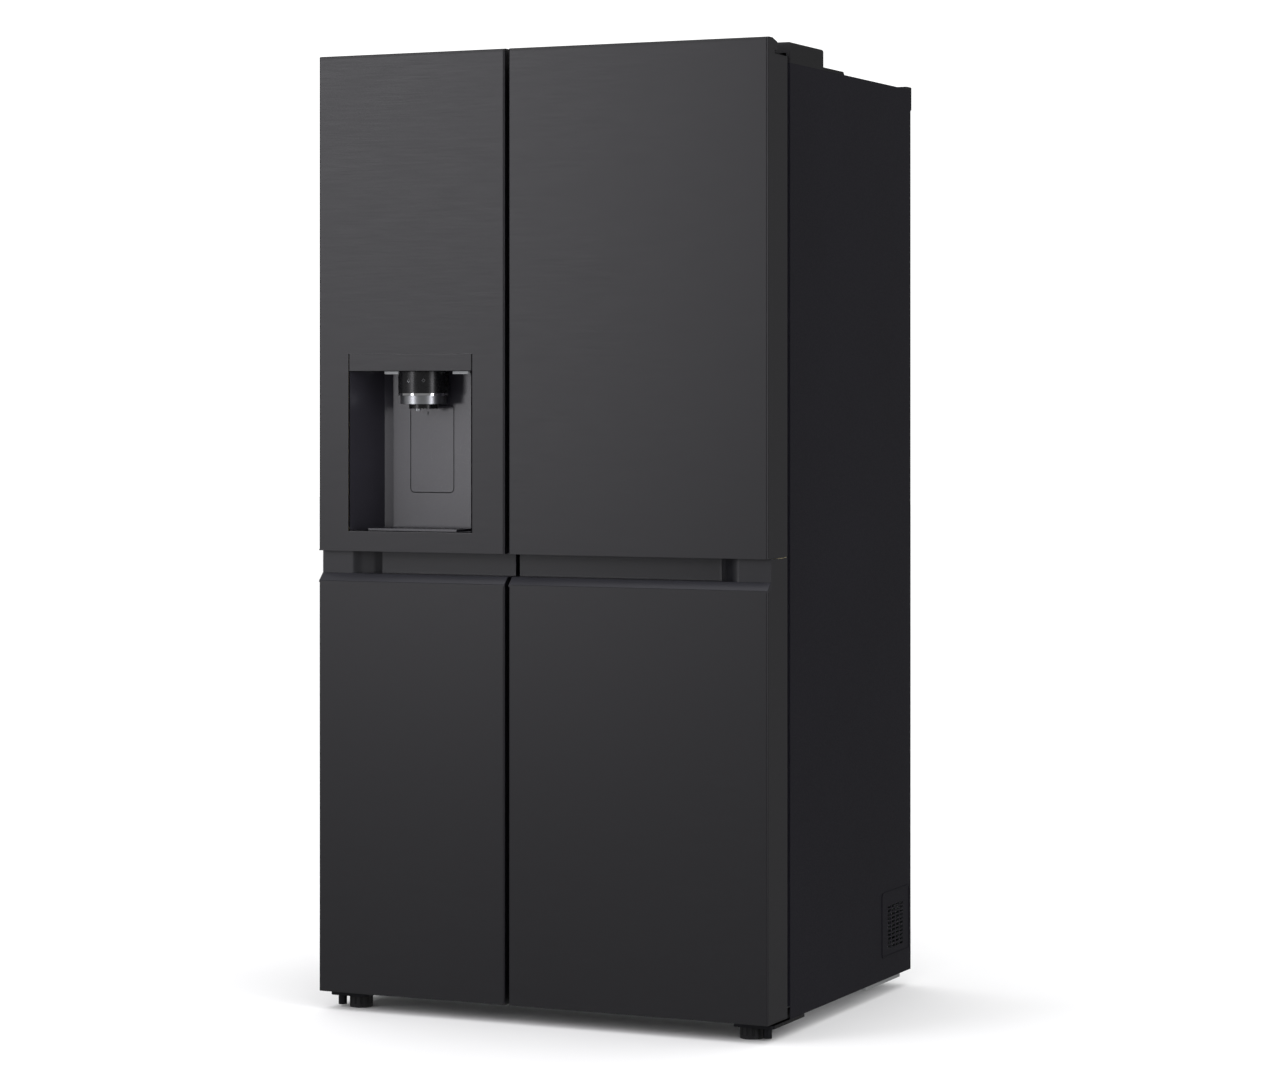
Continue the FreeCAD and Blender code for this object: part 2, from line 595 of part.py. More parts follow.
ice_y = (-60.0, freezer_duct_y)
ice_z = (bin_z[1] + 50, bin_z[1] + 95)
mould = box(auger_x - 70, auger_x + 70, *ice_y, *ice_z)
mould = mould.cut(slots(2, 6, lambda i, j: box(
    auger_x - 60 + i * 64, auger_x - 4 + i * 64, ice_y[0] + 10 + j * 40, ice_y[0] + 42 + j * 40,
    ice_z[0] + 10, ice_z[1] + 1)))
save("ice_maker", mould)

valve = box(inlet.x - 22, inlet.x + 22, tray_y[1] + 1, case_back - sheet, inlet.z - 20, inlet.z + 20)
nipple = rod(inlet_r, (inlet.x, case_back - 8, inlet.z), (inlet.x, back, inlet.z))
save("water_valve", fuse(valve, nipple).cut(rod(5, (inlet.x, case_back - 12, inlet.z),
                                               (inlet.x, back + 1, inlet.z))))

# ================================================================ doors
def door_block(x0, x1, z0, z1):
    """Outer block of a door between two heights, with its upright front edges rounded."""
    return round_edges(box(x0, x1, front, door_rear, z0, z1), edge_radius,
                       lambda m, d: upright(m, d) and m.y < front + 1)


def pocket_outline(side, x0, x1, z, grow):
    """Plan of the finger pocket: shallow at the door's outer side, deep at its free side."""
    outer, free = (x1, x0) if side > 0 else (x0, x1)
    turn = outer - side * pocket_end
    steps = 8
    curve = []
    for k in range(steps + 1):
        t = k / steps
        rise = (1 - math.cos(math.pi * t)) / 2
        curve.append(Vector(turn - side * pocket_curve * t,
                            front + grow + pocket_shallow + (pocket_deep - pocket_shallow) * rise, z))
    start, end = Vector(outer + side, curve[0].y, z), Vector(free - side, curve[-1].y, z)
    bend = Part.BSplineCurve()
    bend.interpolate(Points=curve, InitialTangent=Vector(-side, 0, 0), FinalTangent=Vector(-side, 0, 0))
    corners = [end, Vector(free - side, front - 1, z), Vector(outer + side, front - 1, z), start]
    edges = [Part.makeLine(start, curve[0]), bend.toShape(), Part.makeLine(curve[-1], end)]
    edges += [Part.makeLine(a, b) for a, b in zip(corners, corners[1:])]
    return Part.Face(Part.Wire(Part.__sortEdges__(edges)))


def pocket_space(side, x0, x1, z0, z1, grow=0.0):
    return pocket_outline(side, x0, x1, z0, grow).extrude(Vector(0, 0, z1 - z0))


pocket_floor = pocket_bottom + pocket_lip
pocket_ceiling = pocket_top + pocket_wall
recess_x = (dispenser_x - dispenser_width / 2 - dispenser_wall,
            dispenser_x + dispenser_width / 2 + dispenser_wall)
recess_z = (dispenser_z[0] - dispenser_wall, dispenser_z[1] + dispenser_trim + 1.0)
liner_front = door_rear - liner_wall


def door(name, side, x0, x1, opening_x, basket_levels, basket_depth, dispenser):
    hinge = side * hinge_x
    in0, in1 = x0 + sheet, x1 - sheet

    # steel skins
    full = door_block(x0, x1, skin_bottom, skin_top)
    inner = round_edges(box(in0, in1, front + sheet, door_rear + 1, 0, height), edge_radius - sheet,
                        lambda m, d: upright(m, d) and m.y < front + 2)
    above_shoulder = box(x0 - 1, x1 + 1, lip_rear, door_rear + 1, shoulder - shoulder_cap, height)
    skin = full.cut(inner).cut(above_shoulder)
    upper = skin.cut(box(x0 - 1, x1 + 1, front - 1, door_rear + 1, 0, pocket_top))
    lower = skin.cut(box(x0 - 1, x1 + 1, front - 1, door_rear + 1, pocket_top - skin_seam, height))
    lower = lower.cut(box(x0 - 1, x1 + 1, front - 1, front + 2 * edge_radius, pocket_bottom, height))
    lower = lower.cut(pocket_space(side, x0, x1, pocket_bottom, height, pocket_wall))
    slot_x = sorted((hinge - side * (arm_half + 5), side * (right + 1)))
    arm_space = box(*slot_x, arm_slot_y, door_rear + 1, shoulder, shoulder + arm_slot)
    upper = upper.cut(arm_space)
    if dispenser:
        upper = upper.cut(box(*recess_x, front - 1, front + 2, *recess_z))
    save(name + "_door_upper_panel", upper)
    save(name + "_door_lower_panel", lower)

    # finger pocket
    shell = pocket_space(side, x0, x1, pocket_bottom - pocket_wall, pocket_ceiling, pocket_wall)
    shell = shell.common(box(x0, x1, front, door_rear, 0, height))
    shell = shell.cut(pocket_space(side, x0, x1, pocket_floor, pocket_top))
    wedge = prism_x([(front - 1, pocket_bottom), (front, pocket_bottom), (front + pocket_lip, pocket_floor),
                     (front + pocket_lip, pocket_floor + 1), (front - 1, pocket_floor + 1)], x0 - 1, x1 + 1)
    shell_bottom, shell_floor = pocket_bottom - pocket_wall, pocket_floor - pocket_wall
    under = prism_x([(front - 1, shell_bottom - 1), (front + sheet, shell_bottom - 1),
                     (front + sheet, shell_bottom), (front + pocket_lip, shell_floor),
                     (front + pocket_deep, shell_floor), (front + pocket_deep, shell_bottom - 1)],
                    in0 + 1.5, in1 - 1.5)
    behind_skin = box(x0 - 1, x1 + 1, front - 1, front + sheet, pocket_top, pocket_ceiling + 1)
    shell = shell.cut(wedge).cut(behind_skin).cut(
        under.common(pocket_space(side, x0, x1, 0, pocket_floor - pocket_wall)))
    shell = shell.cut(upper).cut(lower)
    save(name + "_door_pocket", shell)

    # caps, with the bushes for the hinge pins
    profile = [(front, skin_top), (front, height - 2), (front + 5.5, height), (front + 22, height),
               (lip_rear, skin_top), (lip_rear, shoulder), (door_rear, shoulder),
               (door_rear, shoulder - shoulder_cap), (lip_rear - 3, shoulder - shoulder_cap),
               (lip_rear - 3, skin_top - 6), (front + sheet, skin_top - 6), (front + sheet, skin_top)]
    top_cap = prism_x(profile, x0, x1).common(door_block(x0, x1, 0, height + 1))
    bushes = [rod(upper_pin_r + bush_wall, (hinge, hinge_y, shoulder - pin_engagement - 6),
                  (hinge, hinge_y, shoulder - 1)),
              rod(lower_pin_r + bush_wall, (hinge, hinge_y, door_bottom),
                  (hinge, hinge_y, door_bottom + pin_engagement + 6))]
    roof = box(*slot_x, arm_slot_y - 3, lip_rear - 2, shoulder + arm_slot, shoulder + arm_slot + 3)
    pocket_back = box(*slot_x, arm_slot_y - 3, arm_slot_y, shoulder - shoulder_cap, shoulder + arm_slot + 3)
    slot_floor = box(*slot_x, arm_slot_y - 1, lip_rear, shoulder - shoulder_cap, shoulder)
    inside = box(in0, in1, front + sheet, door_rear, 0, height)
    arm_pocket = [wall.common(inside) for wall in (roof, pocket_back, slot_floor)]
    top_cap = fuse(top_cap, bushes[0], *arm_pocket).cut(arm_space).cut(upper)
    top_cap = top_cap.cut(rod(upper_pin_r + pin_clearance, (hinge, hinge_y, shoulder - pin_engagement - 1),
                              (hinge, hinge_y, height)))
    bottom_plate = door_block(x0, x1, door_bottom, skin_bottom)
    plug = box(in0, in1, front + sheet, liner_front, skin_bottom - 1, skin_bottom + 7)
    plug = plug.cut(box(in0 + 2, in1 - 2, front + sheet + 2, liner_front - 2, skin_bottom, skin_bottom + 8))
    bottom = fuse(bottom_plate, plug.cut(lower), bushes[1])
    bottom = bottom.cut(rod(lower_pin_r + pin_clearance, (hinge, hinge_y, 0),
                            (hinge, hinge_y, door_bottom + pin_engagement + 1)))
    save(name + "_door_caps", top_cap, bottom)

    # liner: a plate with a raised rim that stands into the compartment
    hinge_rim, free_rim = opening_x[side > 0], opening_x[side < 0]
    rim_x = sorted((hinge_rim - side * dyke_side_gap, free_rim + side * dyke_swing_gap))
    rim_outer = (*rim_x, *dyke_z)
    rim_inner = grown(rim_outer, -dyke_width)
    rim_top = door_rear + dyke_height
    channel = ring_y(grown(rim_outer, -liner_wall), grown(rim_inner, liner_wall),
                     liner_front - 1, rim_top - liner_wall)
    plate = box(in0, in1, liner_front, door_rear, skin_bottom + 7, shoulder - shoulder_cap)
    rim = ring_y(rim_outer, rim_inner, liner_front, rim_top)
    bulge_x = (rim_inner[0], rim_inner[1])
    inside_liner = fuse(plate, rim)
    if dispenser:
        bulge = box(*bulge_x, liner_front, door_rear + bulge_depth, *bulge_z)
        hollow = box(bulge_x[0] + liner_wall, bulge_x[1] - liner_wall, liner_front - 1,
                     door_rear + bulge_depth - liner_wall, bulge_z[0] + liner_wall, bulge_z[1] - liner_wall)
        inside_liner = fuse(inside_liner, bulge).cut(hollow)
    save(name + "_door_liner", inside_liner.cut(channel))

    # insulation
    y0, y1 = front + sheet, liner_front
    deep = front + pocket_deep + pocket_wall
    top_of_low = pocket_bottom - pocket_wall
    blocks = [box(in0, in1, y0, y1, skin_bottom + 7 + g, top_of_low),
              box(in0, in1, deep, y1, top_of_low + g, pocket_ceiling),
              box(in0, in1, y0, arm_slot_y - 3, shoulder - shoulder_cap + g, skin_top - 6)]
    lower_z, upper_z = pocket_ceiling + g, shoulder - shoulder_cap
    if dispenser:
        head_room = recess_z[1] + 2
        blocks += [box(in0, recess_x[0] - 1, y0, y1, lower_z, head_room),
                   box(recess_x[1] + 1, in1, y0, y1, lower_z, head_room),
                   box(recess_x[0] - 1 + g, recess_x[1] + 1 - g, y0, y1, lower_z, recess_z[0] - 0.5),
                   box(recess_x[0] - 1 + g, recess_x[1] + 1 - g, front + 5, y1,
                       dispenser_z[1] + dispenser_wall + 0.5, head_room),
                   box(in0, in1, y0, y1, head_room + g, upper_z)]
        b0, b1 = bulge_x[0] + liner_wall + 0.5, bulge_x[1] - liner_wall - 0.5
        bz0, bz1 = bulge_z[0] + liner_wall + 0.5, bulge_z[1] - liner_wall - 0.5
        pocket = (dispenser_x - paddle_width / 2 - 8, dispenser_x + paddle_width / 2 + 8, paddle_z[0] - 8,
                  paddle_z[1] + 8)
        pocket_rear = front + dispenser_depth + paddle_recess + dispenser_wall + 0.5
        bulge_rear = door_rear + bulge_depth - liner_wall
        recess_rear = door_rear + g
        blocks += [box(b0, b1, pocket_rear + g, bulge_rear, bz0, bz1),
                   box(b0, pocket[0], recess_rear, pocket_rear, bz0, bz1),
                   box(pocket[1], b1, recess_rear, pocket_rear, bz0, bz1),
                   box(pocket[0] + g, pocket[1] - g, recess_rear, pocket_rear, bz0, pocket[2]),
                   box(pocket[0] + g, pocket[1] - g, recess_rear, pocket_rear, pocket[3], bz1)]
    else:
        blocks.append(box(in0, in1, y0, y1, lower_z, upper_z))
    core = grown(rim_outer, -liner_wall - 0.5)
    rim_core = grown(rim_inner, liner_wall + 0.5)
    c0, c1 = y1 + g, rim_top - liner_wall
    blocks += [box(core[0], rim_core[0], c0, c1, core[2], core[3]),
               box(rim_core[1], core[1], c0, c1, core[2], core[3]),
               box(rim_core[0] + g, rim_core[1] - g, c0, c1, core[2], rim_core[2]),
               box(rim_core[0] + g, rim_core[1] - g, c0, c1, rim_core[3], core[3])]
    skins = [top_cap, bottom, upper, lower, *bushes]
    save(name + "_door_foam", *[max(b.cut(skins).Solids, key=lambda s: s.Volume) for b in blocks])

    # gasket, a little clear of the case
    seal_x = sorted((hinge - side * gasket_inset, (x0 if side > 0 else x1) + side * gasket_free))
    seal = (*seal_x, *gasket_z)
    save(name + "_door_gasket", ring_y(seal, grown(seal, -gasket_width), door_rear, case_front - touch_gap))

    # baskets between the rim's sides
    baskets = [tub(rim_inner[0], rim_inner[1], door_rear + 0.5, door_rear + basket_depth,
                   z, z + basket_height, basket_wall, basket_corner)
               for z in basket_levels if z + basket_height < rim_inner[3]]
    save(name + "_door_baskets", *baskets)


door("freezer", -1, left, split_left, freezer_x, (150, 400, 650, 1290, 1500), 108.0, True)
door("fridge", 1, split_right, right, fridge_x, (150, 400, 680, 960, 1240, 1480), 118.0, False)


# ================================================================ dispenser
def recess_plan(grow):
    half, deep = dispenser_width / 2 + grow, dispenser_depth + grow
    inner_half = half - dispenser_taper
    return [(dispenser_x - half, front), (dispenser_x + half, front),
            (dispenser_x + inner_half, front + deep - dispenser_corner),
            (dispenser_x + inner_half - dispenser_corner, front + deep),
            (dispenser_x - inner_half + dispenser_corner, front + deep),
            (dispenser_x - inner_half, front + deep - dispenser_corner)]


recess_back = front + dispenser_depth
paddle_half = paddle_width / 2
housing = prism_z(recess_plan(dispenser_wall), dispenser_z[0] - dispenser_wall,
                  dispenser_z[1] + dispenser_wall)
pocket_box = box(dispenser_x - paddle_half - paddle_gap - dispenser_wall,
                 dispenser_x + paddle_half + paddle_gap + dispenser_wall, recess_back,
                 recess_back + paddle_recess + dispenser_wall, paddle_z[0] - paddle_gap - dispenser_wall,
                 paddle_z[1] + paddle_gap + dispenser_wall)
paddle_space = round_edges(
    box(dispenser_x - paddle_half - paddle_gap, dispenser_x + paddle_half + paddle_gap, recess_back - 1,
        recess_back + paddle_recess, paddle_z[0] - paddle_gap, paddle_z[1] + paddle_gap),
    paddle_corner + paddle_gap, lambda m, d: abs(d.y) > 0.99)
pin_ends = rod(paddle_pin_r + pin_clearance,
               (dispenser_x - paddle_half - 3.6, recess_back + 6, paddle_pin_z),
               (dispenser_x + paddle_half + 3.6, recess_back + 6, paddle_pin_z))
trim_half = dispenser_width / 2 + 1.5
trim = box(dispenser_x - trim_half, dispenser_x + trim_half, front, front + 3,
           dispenser_z[1], dispenser_z[1] + dispenser_trim)
trim = round_edges(trim, 3.0, lambda m, d: abs(d.y) > 0.99 and m.z > dispenser_z[1] + 1)
housing = fuse(housing, pocket_box).cut(prism_z(recess_plan(0.0), *dispenser_z))
trim_backing = box(recess_x[0] - 0.8, recess_x[1] + 0.8, front + 3, front + 4.5,
                   dispenser_z[1], recess_z[1] + 1.5)
housing = fuse(housing, trim_backing).cut(prism_z(recess_plan(0.0), *dispenser_z))
housing = housing.cut(paddle_space).cut(pin_ends).cut(trim).cut(
    box(dispenser_x - 200, dispenser_x + 200, front - 1, front + recess_edge, 0, height))
save("dispenser_housing", housing)
save("dispenser_trim", trim)

in_recess = box(dispenser_x - 100, dispenser_x + 100, front, recess_back, 0, height)


def head_disc(radius, z0, z1):
    """Round slice of the dispenser's head, flat where it meets the back of the recess."""
    return rod(radius, (dispenser_x, head_y, z0), (dispenser_x, head_y, z1)).common(in_recess)


core = head_disc(nozzle_base_radius, nozzle_base_bottom, head_bottom)
head = head_disc(head_radius, head_bottom, dispenser_z[1])
save("dispenser_head", fuse(head, core))
save("dispenser_ring", head_disc(head_radius, head_bottom - ring_height, head_bottom).cut(core))
save("dispenser_collar", head_disc(collar_radius, collar_bottom, head_bottom - ring_height).cut(core))
nozzle_y = head_y - 20.0
save("water_nozzle", rod(5.0, (dispenser_x - 1, nozzle_y, nozzle_base_bottom - 4),
                         (dispenser_x - 1, nozzle_y, nozzle_base_bottom)))

paddle = box(dispenser_x - paddle_half, dispenser_x + paddle_half,
             recess_back, recess_back + paddle_thickness, *paddle_z)
paddle = round_edges(paddle, paddle_corner, lambda m, d: abs(d.y) > 0.99)
lugs = [box(dispenser_x + sx * (paddle_half - 6) - 4, dispenser_x + sx * (paddle_half - 6) + 4,
            recess_back + 2, recess_back + 10, paddle_pin_z - 4, paddle_pin_z + 4) for sx in (-1, 1)]
paddle_pin = rod(paddle_pin_r, (dispenser_x - paddle_half - 3, recess_back + 6, paddle_pin_z),
                 (dispenser_x + paddle_half + 3, recess_back + 6, paddle_pin_z))
notch = box(dispenser_x - 10, dispenser_x + 10, recess_back - 1, recess_back + 2,
            paddle_pin_z - 7, paddle_pin_z - 1)
save("dispenser_paddle", fuse(paddle, paddle_pin, *lugs).cut(notch))

deck_half = dispenser_width / 2 - dispenser_taper - 2
tray_deck = box(dispenser_x - deck_half, dispenser_x + deck_half, front + 9, front + 76,
                dispenser_z[0], dispenser_z[0] + 4)
deck_pitch = 16.0
deck_slots = int((2 * deck_half - 4) / deck_pitch)
deck_first = dispenser_x - deck_pitch * (deck_slots - 0.5) / 2
tray_deck = tray_deck.cut(slots(deck_slots, 1, lambda i, j: box(
    deck_first + i * deck_pitch, deck_first + (i + 0.5) * deck_pitch, front + 17, front + 68,
    dispenser_z[0] + 1, dispenser_z[0] + 5)))
save("drip_tray", tray_deck)
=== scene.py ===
# %% [markdown]
# # A side-by-side refrigerator
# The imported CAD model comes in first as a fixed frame. Its pieces are already the right size and in the
# right place, so this notebook gives them their finishes, and adds the small parts that a maker would
# notice: door seals, screws, lamps, shelf trims, basket rims and the details of the dispenser.

# %% Load the frame
import math

import bpy
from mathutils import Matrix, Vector


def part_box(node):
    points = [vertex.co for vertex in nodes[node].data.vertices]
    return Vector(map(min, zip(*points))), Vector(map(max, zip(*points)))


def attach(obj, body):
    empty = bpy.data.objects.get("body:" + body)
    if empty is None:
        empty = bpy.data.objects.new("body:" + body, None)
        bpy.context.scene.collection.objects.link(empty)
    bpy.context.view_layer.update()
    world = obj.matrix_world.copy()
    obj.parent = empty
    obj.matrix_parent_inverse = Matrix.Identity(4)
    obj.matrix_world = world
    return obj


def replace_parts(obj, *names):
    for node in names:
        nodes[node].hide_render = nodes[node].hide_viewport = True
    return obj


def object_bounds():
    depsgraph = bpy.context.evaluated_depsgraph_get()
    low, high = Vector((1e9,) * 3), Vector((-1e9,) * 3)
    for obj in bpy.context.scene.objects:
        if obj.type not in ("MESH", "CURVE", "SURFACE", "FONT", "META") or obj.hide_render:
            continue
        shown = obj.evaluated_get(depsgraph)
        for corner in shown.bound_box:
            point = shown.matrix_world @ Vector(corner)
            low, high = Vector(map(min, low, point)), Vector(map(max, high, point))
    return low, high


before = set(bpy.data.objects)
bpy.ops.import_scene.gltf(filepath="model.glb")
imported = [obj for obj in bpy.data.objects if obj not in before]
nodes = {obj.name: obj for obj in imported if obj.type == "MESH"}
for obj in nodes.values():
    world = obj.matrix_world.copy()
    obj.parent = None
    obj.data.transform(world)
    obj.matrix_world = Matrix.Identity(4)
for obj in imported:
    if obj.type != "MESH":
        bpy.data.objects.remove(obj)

cad_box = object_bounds()
MM = 0.001
print("pieces from the frame:", len(nodes), "box", cad_box)

# %% [markdown]
# The camera stands a little above waist height, to the right of the doors, and looks level, so upright edges
# stay upright. A long lens from far away keeps the perspective gentle. The vertical shift frames the whole
# appliance without tilting the camera.

# %% Camera
camera_data = bpy.data.cameras.new("view")
camera_data.sensor_width = 36.0
camera_data.lens = 100.6
camera_data.shift_y = -0.1081
camera = bpy.data.objects.new("view", camera_data)
bpy.context.scene.collection.objects.link(camera)
camera.location = (2.869, -6.184, 1.147)
camera.rotation_euler = (math.radians(90), 0, math.radians(24.67))
bpy.context.scene.camera = camera


# %% [markdown]
# Colours are written as sRGB hex, as they would be picked on a screen, and one function turns them to the
# linear values that the renderer works in.

# %% Colours and nodes
def hex_colour(code, alpha=1.0):
    channels = [int(code[i:i + 2], 16) / 255 for i in (1, 3, 5)]
    linear = [c / 12.92 if c <= 0.04045 else ((c + 0.055) / 1.055) ** 2.4 for c in channels]
    return (*linear, alpha)


def add(tree, kind, settings=None, links=None):
    """One node with its settings (attributes or input values) and its incoming links."""
    node = tree.nodes.new("ShaderNode" + kind)
    for key, value in (settings or {}).items():
        if key in node.inputs:
            node.inputs[key].default_value = value
        else:
            setattr(node, key, value)
    for key, source in (links or {}).items():
        tree.links.new(source, node.inputs[key])
    return node


def start(name, **shader_values):
    """New material with its shader's own sockets set."""
    material = bpy.data.materials.new(name)
    material.use_nodes = True
    shader = material.node_tree.nodes["Principled BSDF"]
    for key, value in shader_values.items():
        shader.inputs[key.replace("_", " ")].default_value = value
    place = add(material.node_tree, "TexCoord")
    return material, material.node_tree, shader, place.outputs["Object"]


def stretched(tree, source, x, y, z):
    """Object coordinates scaled, so that a pattern's grains get their real length in each direction."""
    return add(tree, "Mapping", {"Scale": (x, y, z)}, {"Vector": source}).outputs["Vector"]


def between(tree, factor, low, high):
    """Colour that runs from low to high as the factor goes from 0 to 1."""
    mix = add(tree, "Mix", {"data_type": "RGBA"})
    tree.links.new(factor, mix.inputs["Factor"])
    mix.inputs[6].default_value = hex_colour(low)
    mix.inputs[7].default_value = hex_colour(high)
    return mix.outputs[2]


def spread(tree, factor, low, high):
    """The factor's range 0.3 to 0.7, where noise lies, taken to low and high."""
    return add(tree, "MapRange", {"From Min": 0.3, "From Max": 0.7, "To Min": low, "To Max": high},
               {"Value": factor}).outputs["Result"]


def bumped(tree, shader, height, depth_mm, strength=1.0):
    bump = add(tree, "Bump", {"Strength": strength, "Distance": depth_mm * MM}, {"Height": height})
    tree.links.new(bump.outputs["Normal"], shader.inputs["Normal"])


# %% [markdown]
# The studio is a pale floor and a white surround. What shows on dark, half-matte doors is mostly reflection,
# so the surround is white to the camera and lights the floor, but is dim where a glossy surface mirrors it.
# The floor stays out of the reflections. One broad light in front on the left puts a soft sheen on the upper
# doors, and a small low one reaches the back wall of the dispenser. A light overhead fills the top, and one
# on the right picks out the chamfers and the inner wall of the dispenser.

# %% Floor
bpy.ops.object.select_all(action="DESELECT")
bpy.ops.mesh.primitive_plane_add(size=60, location=(0, 0, -0.0005))
floor = bpy.context.object
floor.name = "studio_floor"
floor_paint, tree, shader, place = start("matt_studio_floor", Roughness=0.9)
fine = add(tree, "TexNoise", {"Scale": 3.0, "Detail": 4.0}, {"Vector": place})
tree.links.new(between(tree, fine.outputs["Fac"], "#F2F2F2", "#F6F6F6"), shader.inputs["Base Color"])
floor.data.materials.append(floor_paint)
floor.visible_glossy = False

# %% Surround and lights
world = bpy.data.worlds.new("studio")
world.use_nodes = True
bpy.context.scene.world = world
bpy.context.scene.view_settings.view_transform = "Standard"
sky = world.node_tree.nodes["Background"]
sky.inputs["Color"].default_value = (1, 1, 1, 1)
DIM, WHITE = 0.21, 1.22
seen = add(world.node_tree, "LightPath")
level = add(world.node_tree, "MapRange", {"To Min": WHITE, "To Max": DIM},
            {"Value": seen.outputs["Is Glossy Ray"]})
world.node_tree.links.new(level.outputs["Result"], sky.inputs["Strength"])


def soft_light(name, place, aim, width, height, power):
    data = bpy.data.lights.new(name, "AREA")
    data.shape = "RECTANGLE"
    data.size, data.size_y, data.energy = width, height, power
    data.color = (0.965, 0.955, 1.0)
    lamp = bpy.data.objects.new(name, data)
    bpy.context.scene.collection.objects.link(lamp)
    lamp.location = place
    lamp.rotation_euler = (Vector(aim) - Vector(place)).to_track_quat("-Z", "Y").to_euler()
    return lamp


soft_light("front_left", (-3.0, -4.6, 2.9), (-0.3, 0, 1.3), 2.4, 2.4, 82)
soft_light("low_front_left", (-2.0, -4.0, 1.0), (-0.25, -0.3, 1.05), 0.7, 0.7, 9)
soft_light("overhead", (0.0, -0.8, 4.5), (0, -0.4, 0), 4.5, 4.5, 40)
soft_light("right_front", (4.5, -2.0, 1.6), (-0.2, -0.3, 1.0), 1.4, 2.2, 45)

# %% [markdown]
# ## Finishes
# Each finish is named for what it is on the real appliance. The patterns are measured in millimetres:
# noise with a scale of 1000 has grains about a millimetre long.

# %% [markdown]
# **Black brushed steel.** The door skins are thin steel, brushed along X and coated dark. The coat is half
# matte, so it gives a broad soft sheen, with brush lines a few centimetres long that barely show.

# %% Door skins
black_steel, tree, shader, place = start("brushed_black_coated_steel", Specular_IOR_Level=0.55, IOR=1.5)
brush = add(tree, "TexNoise", {"Scale": 1.0, "Detail": 6.0, "Roughness": 0.65},
            {"Vector": stretched(tree, place, 14, 700, 700)})
tree.links.new(between(tree, brush.outputs["Fac"], "#0F0E12", "#141318"), shader.inputs["Base Color"])
tree.links.new(spread(tree, brush.outputs["Fac"], 0.38, 0.46), shader.inputs["Roughness"])
bumped(tree, shader, brush.outputs["Fac"], 0.03, 0.35)

# %% [markdown]
# **Powder-coated case.** The sides and top are steel with a black powder coat. It is matter than the doors,
# with the fine orange-peel that the powder leaves as it melts.

# %% Case paint
case_paint, tree, shader, place = start("black_powder_coat", IOR=1.5, Specular_IOR_Level=0.12)
peel = add(tree, "TexNoise", {"Scale": 420.0, "Detail": 3.0, "Roughness": 0.6}, {"Vector": place})
patch = add(tree, "TexNoise", {"Scale": 3.0, "Detail": 3.0}, {"Vector": place})
tree.links.new(between(tree, patch.outputs["Fac"], "#121117", "#17161D"), shader.inputs["Base Color"])
tree.links.new(spread(tree, peel.outputs["Fac"], 0.42, 0.54), shader.inputs["Roughness"])
bumped(tree, shader, peel.outputs["Fac"], 0.08, 0.5)

# %% [markdown]
# **Galvanised steel.** Zinc freezes on the hot sheet in crystals called spangle, one or two centimetres
# across, each with its own tone. It covers the back, the base pan and the panels inside.

# %% Galvanised sheet
galvanised, tree, shader, place = start("galvanised_steel", Metallic=1.0)
spangle = add(tree, "TexVoronoi", {"Scale": 75.0, "Randomness": 1.0}, {"Vector": place})
tone = add(tree, "SeparateColor", None, {"Color": spangle.outputs["Color"]})
tree.links.new(between(tree, tone.outputs["Red"], "#7F8284", "#ACAFB1"), shader.inputs["Base Color"])
tree.links.new(spread(tree, tone.outputs["Green"], 0.34, 0.48), shader.inputs["Roughness"])
bumped(tree, shader, tone.outputs["Red"], 0.02, 0.3)


# %% [markdown]
# **Moulded plastics.** Most small parts are injection-moulded. A sparked mould leaves a grain of about a
# millimetre, which turns the gloss down; a polished mould leaves only a slight waviness. One function
# makes them all, because they differ only in colour, gloss and grain.

# %% Plastics
def moulded(name, dark, light, smooth, rough, grain_mm, depth_mm, **values):
    material, tree, shader, place = start(name, IOR=1.49, **values)
    grain = add(tree, "TexNoise", {"Scale": 1000.0 / grain_mm, "Detail": 2.5, "Roughness": 0.6},
                {"Vector": place})
    wave = add(tree, "TexNoise", {"Scale": 9.0, "Detail": 2.0}, {"Vector": place})
    tree.links.new(between(tree, wave.outputs["Fac"], dark, light), shader.inputs["Base Color"])
    tree.links.new(spread(tree, grain.outputs["Fac"], smooth, rough), shader.inputs["Roughness"])
    bumped(tree, shader, grain.outputs["Fac"], depth_mm, 0.6)
    return material


black_abs = moulded("sparked_black_abs", "#0E0E11", "#131316", 0.50, 0.62, 1.2, 0.05)
moulded("satin_charcoal_abs", "#111114", "#161619", 0.40, 0.50, 1.0, 0.03)
moulded("satin_graphite_abs", "#131317", "#18181D", 0.34, 0.44, 0.9, 0.02)
moulded("satin_black_abs", "#1E1D22", "#26252B", 0.20, 0.28, 0.9, 0.02)
moulded("polished_black_abs", "#0B0B0D", "#101012", 0.24, 0.30, 14.0, 0.02)
white_hips = moulded("vacuum_formed_white_polystyrene", "#DADCDD", "#E6E8E9", 0.26, 0.36, 2.5, 0.05)
moulded("moulded_grey_abs", "#8C8F92", "#9A9DA0", 0.42, 0.52, 1.2, 0.04)
moulded("black_nylon", "#222225", "#2B2B2E", 0.45, 0.58, 1.5, 0.05)
# Near-black, barely reflecting finish for the strips that paint shadow into the dispenser's gaps; it is no
# real rubber part.
painted_shadow_black = moulded("near_black_painted_shadow", "#040405", "#08080A", 0.65, 0.8, 1.5, 0.04,
                      Specular_IOR_Level=0.08)
lip_abs = moulded("satin_smoke_abs", "#26262B", "#2D2D32", 0.36, 0.46, 0.9, 0.02)

# %% [markdown]
# **Soft rubber seals.** The door seals are extruded PVC with a magnet inside. Extruding leaves faint lines
# and a soft, slightly dusty look, so they get a little sheen.

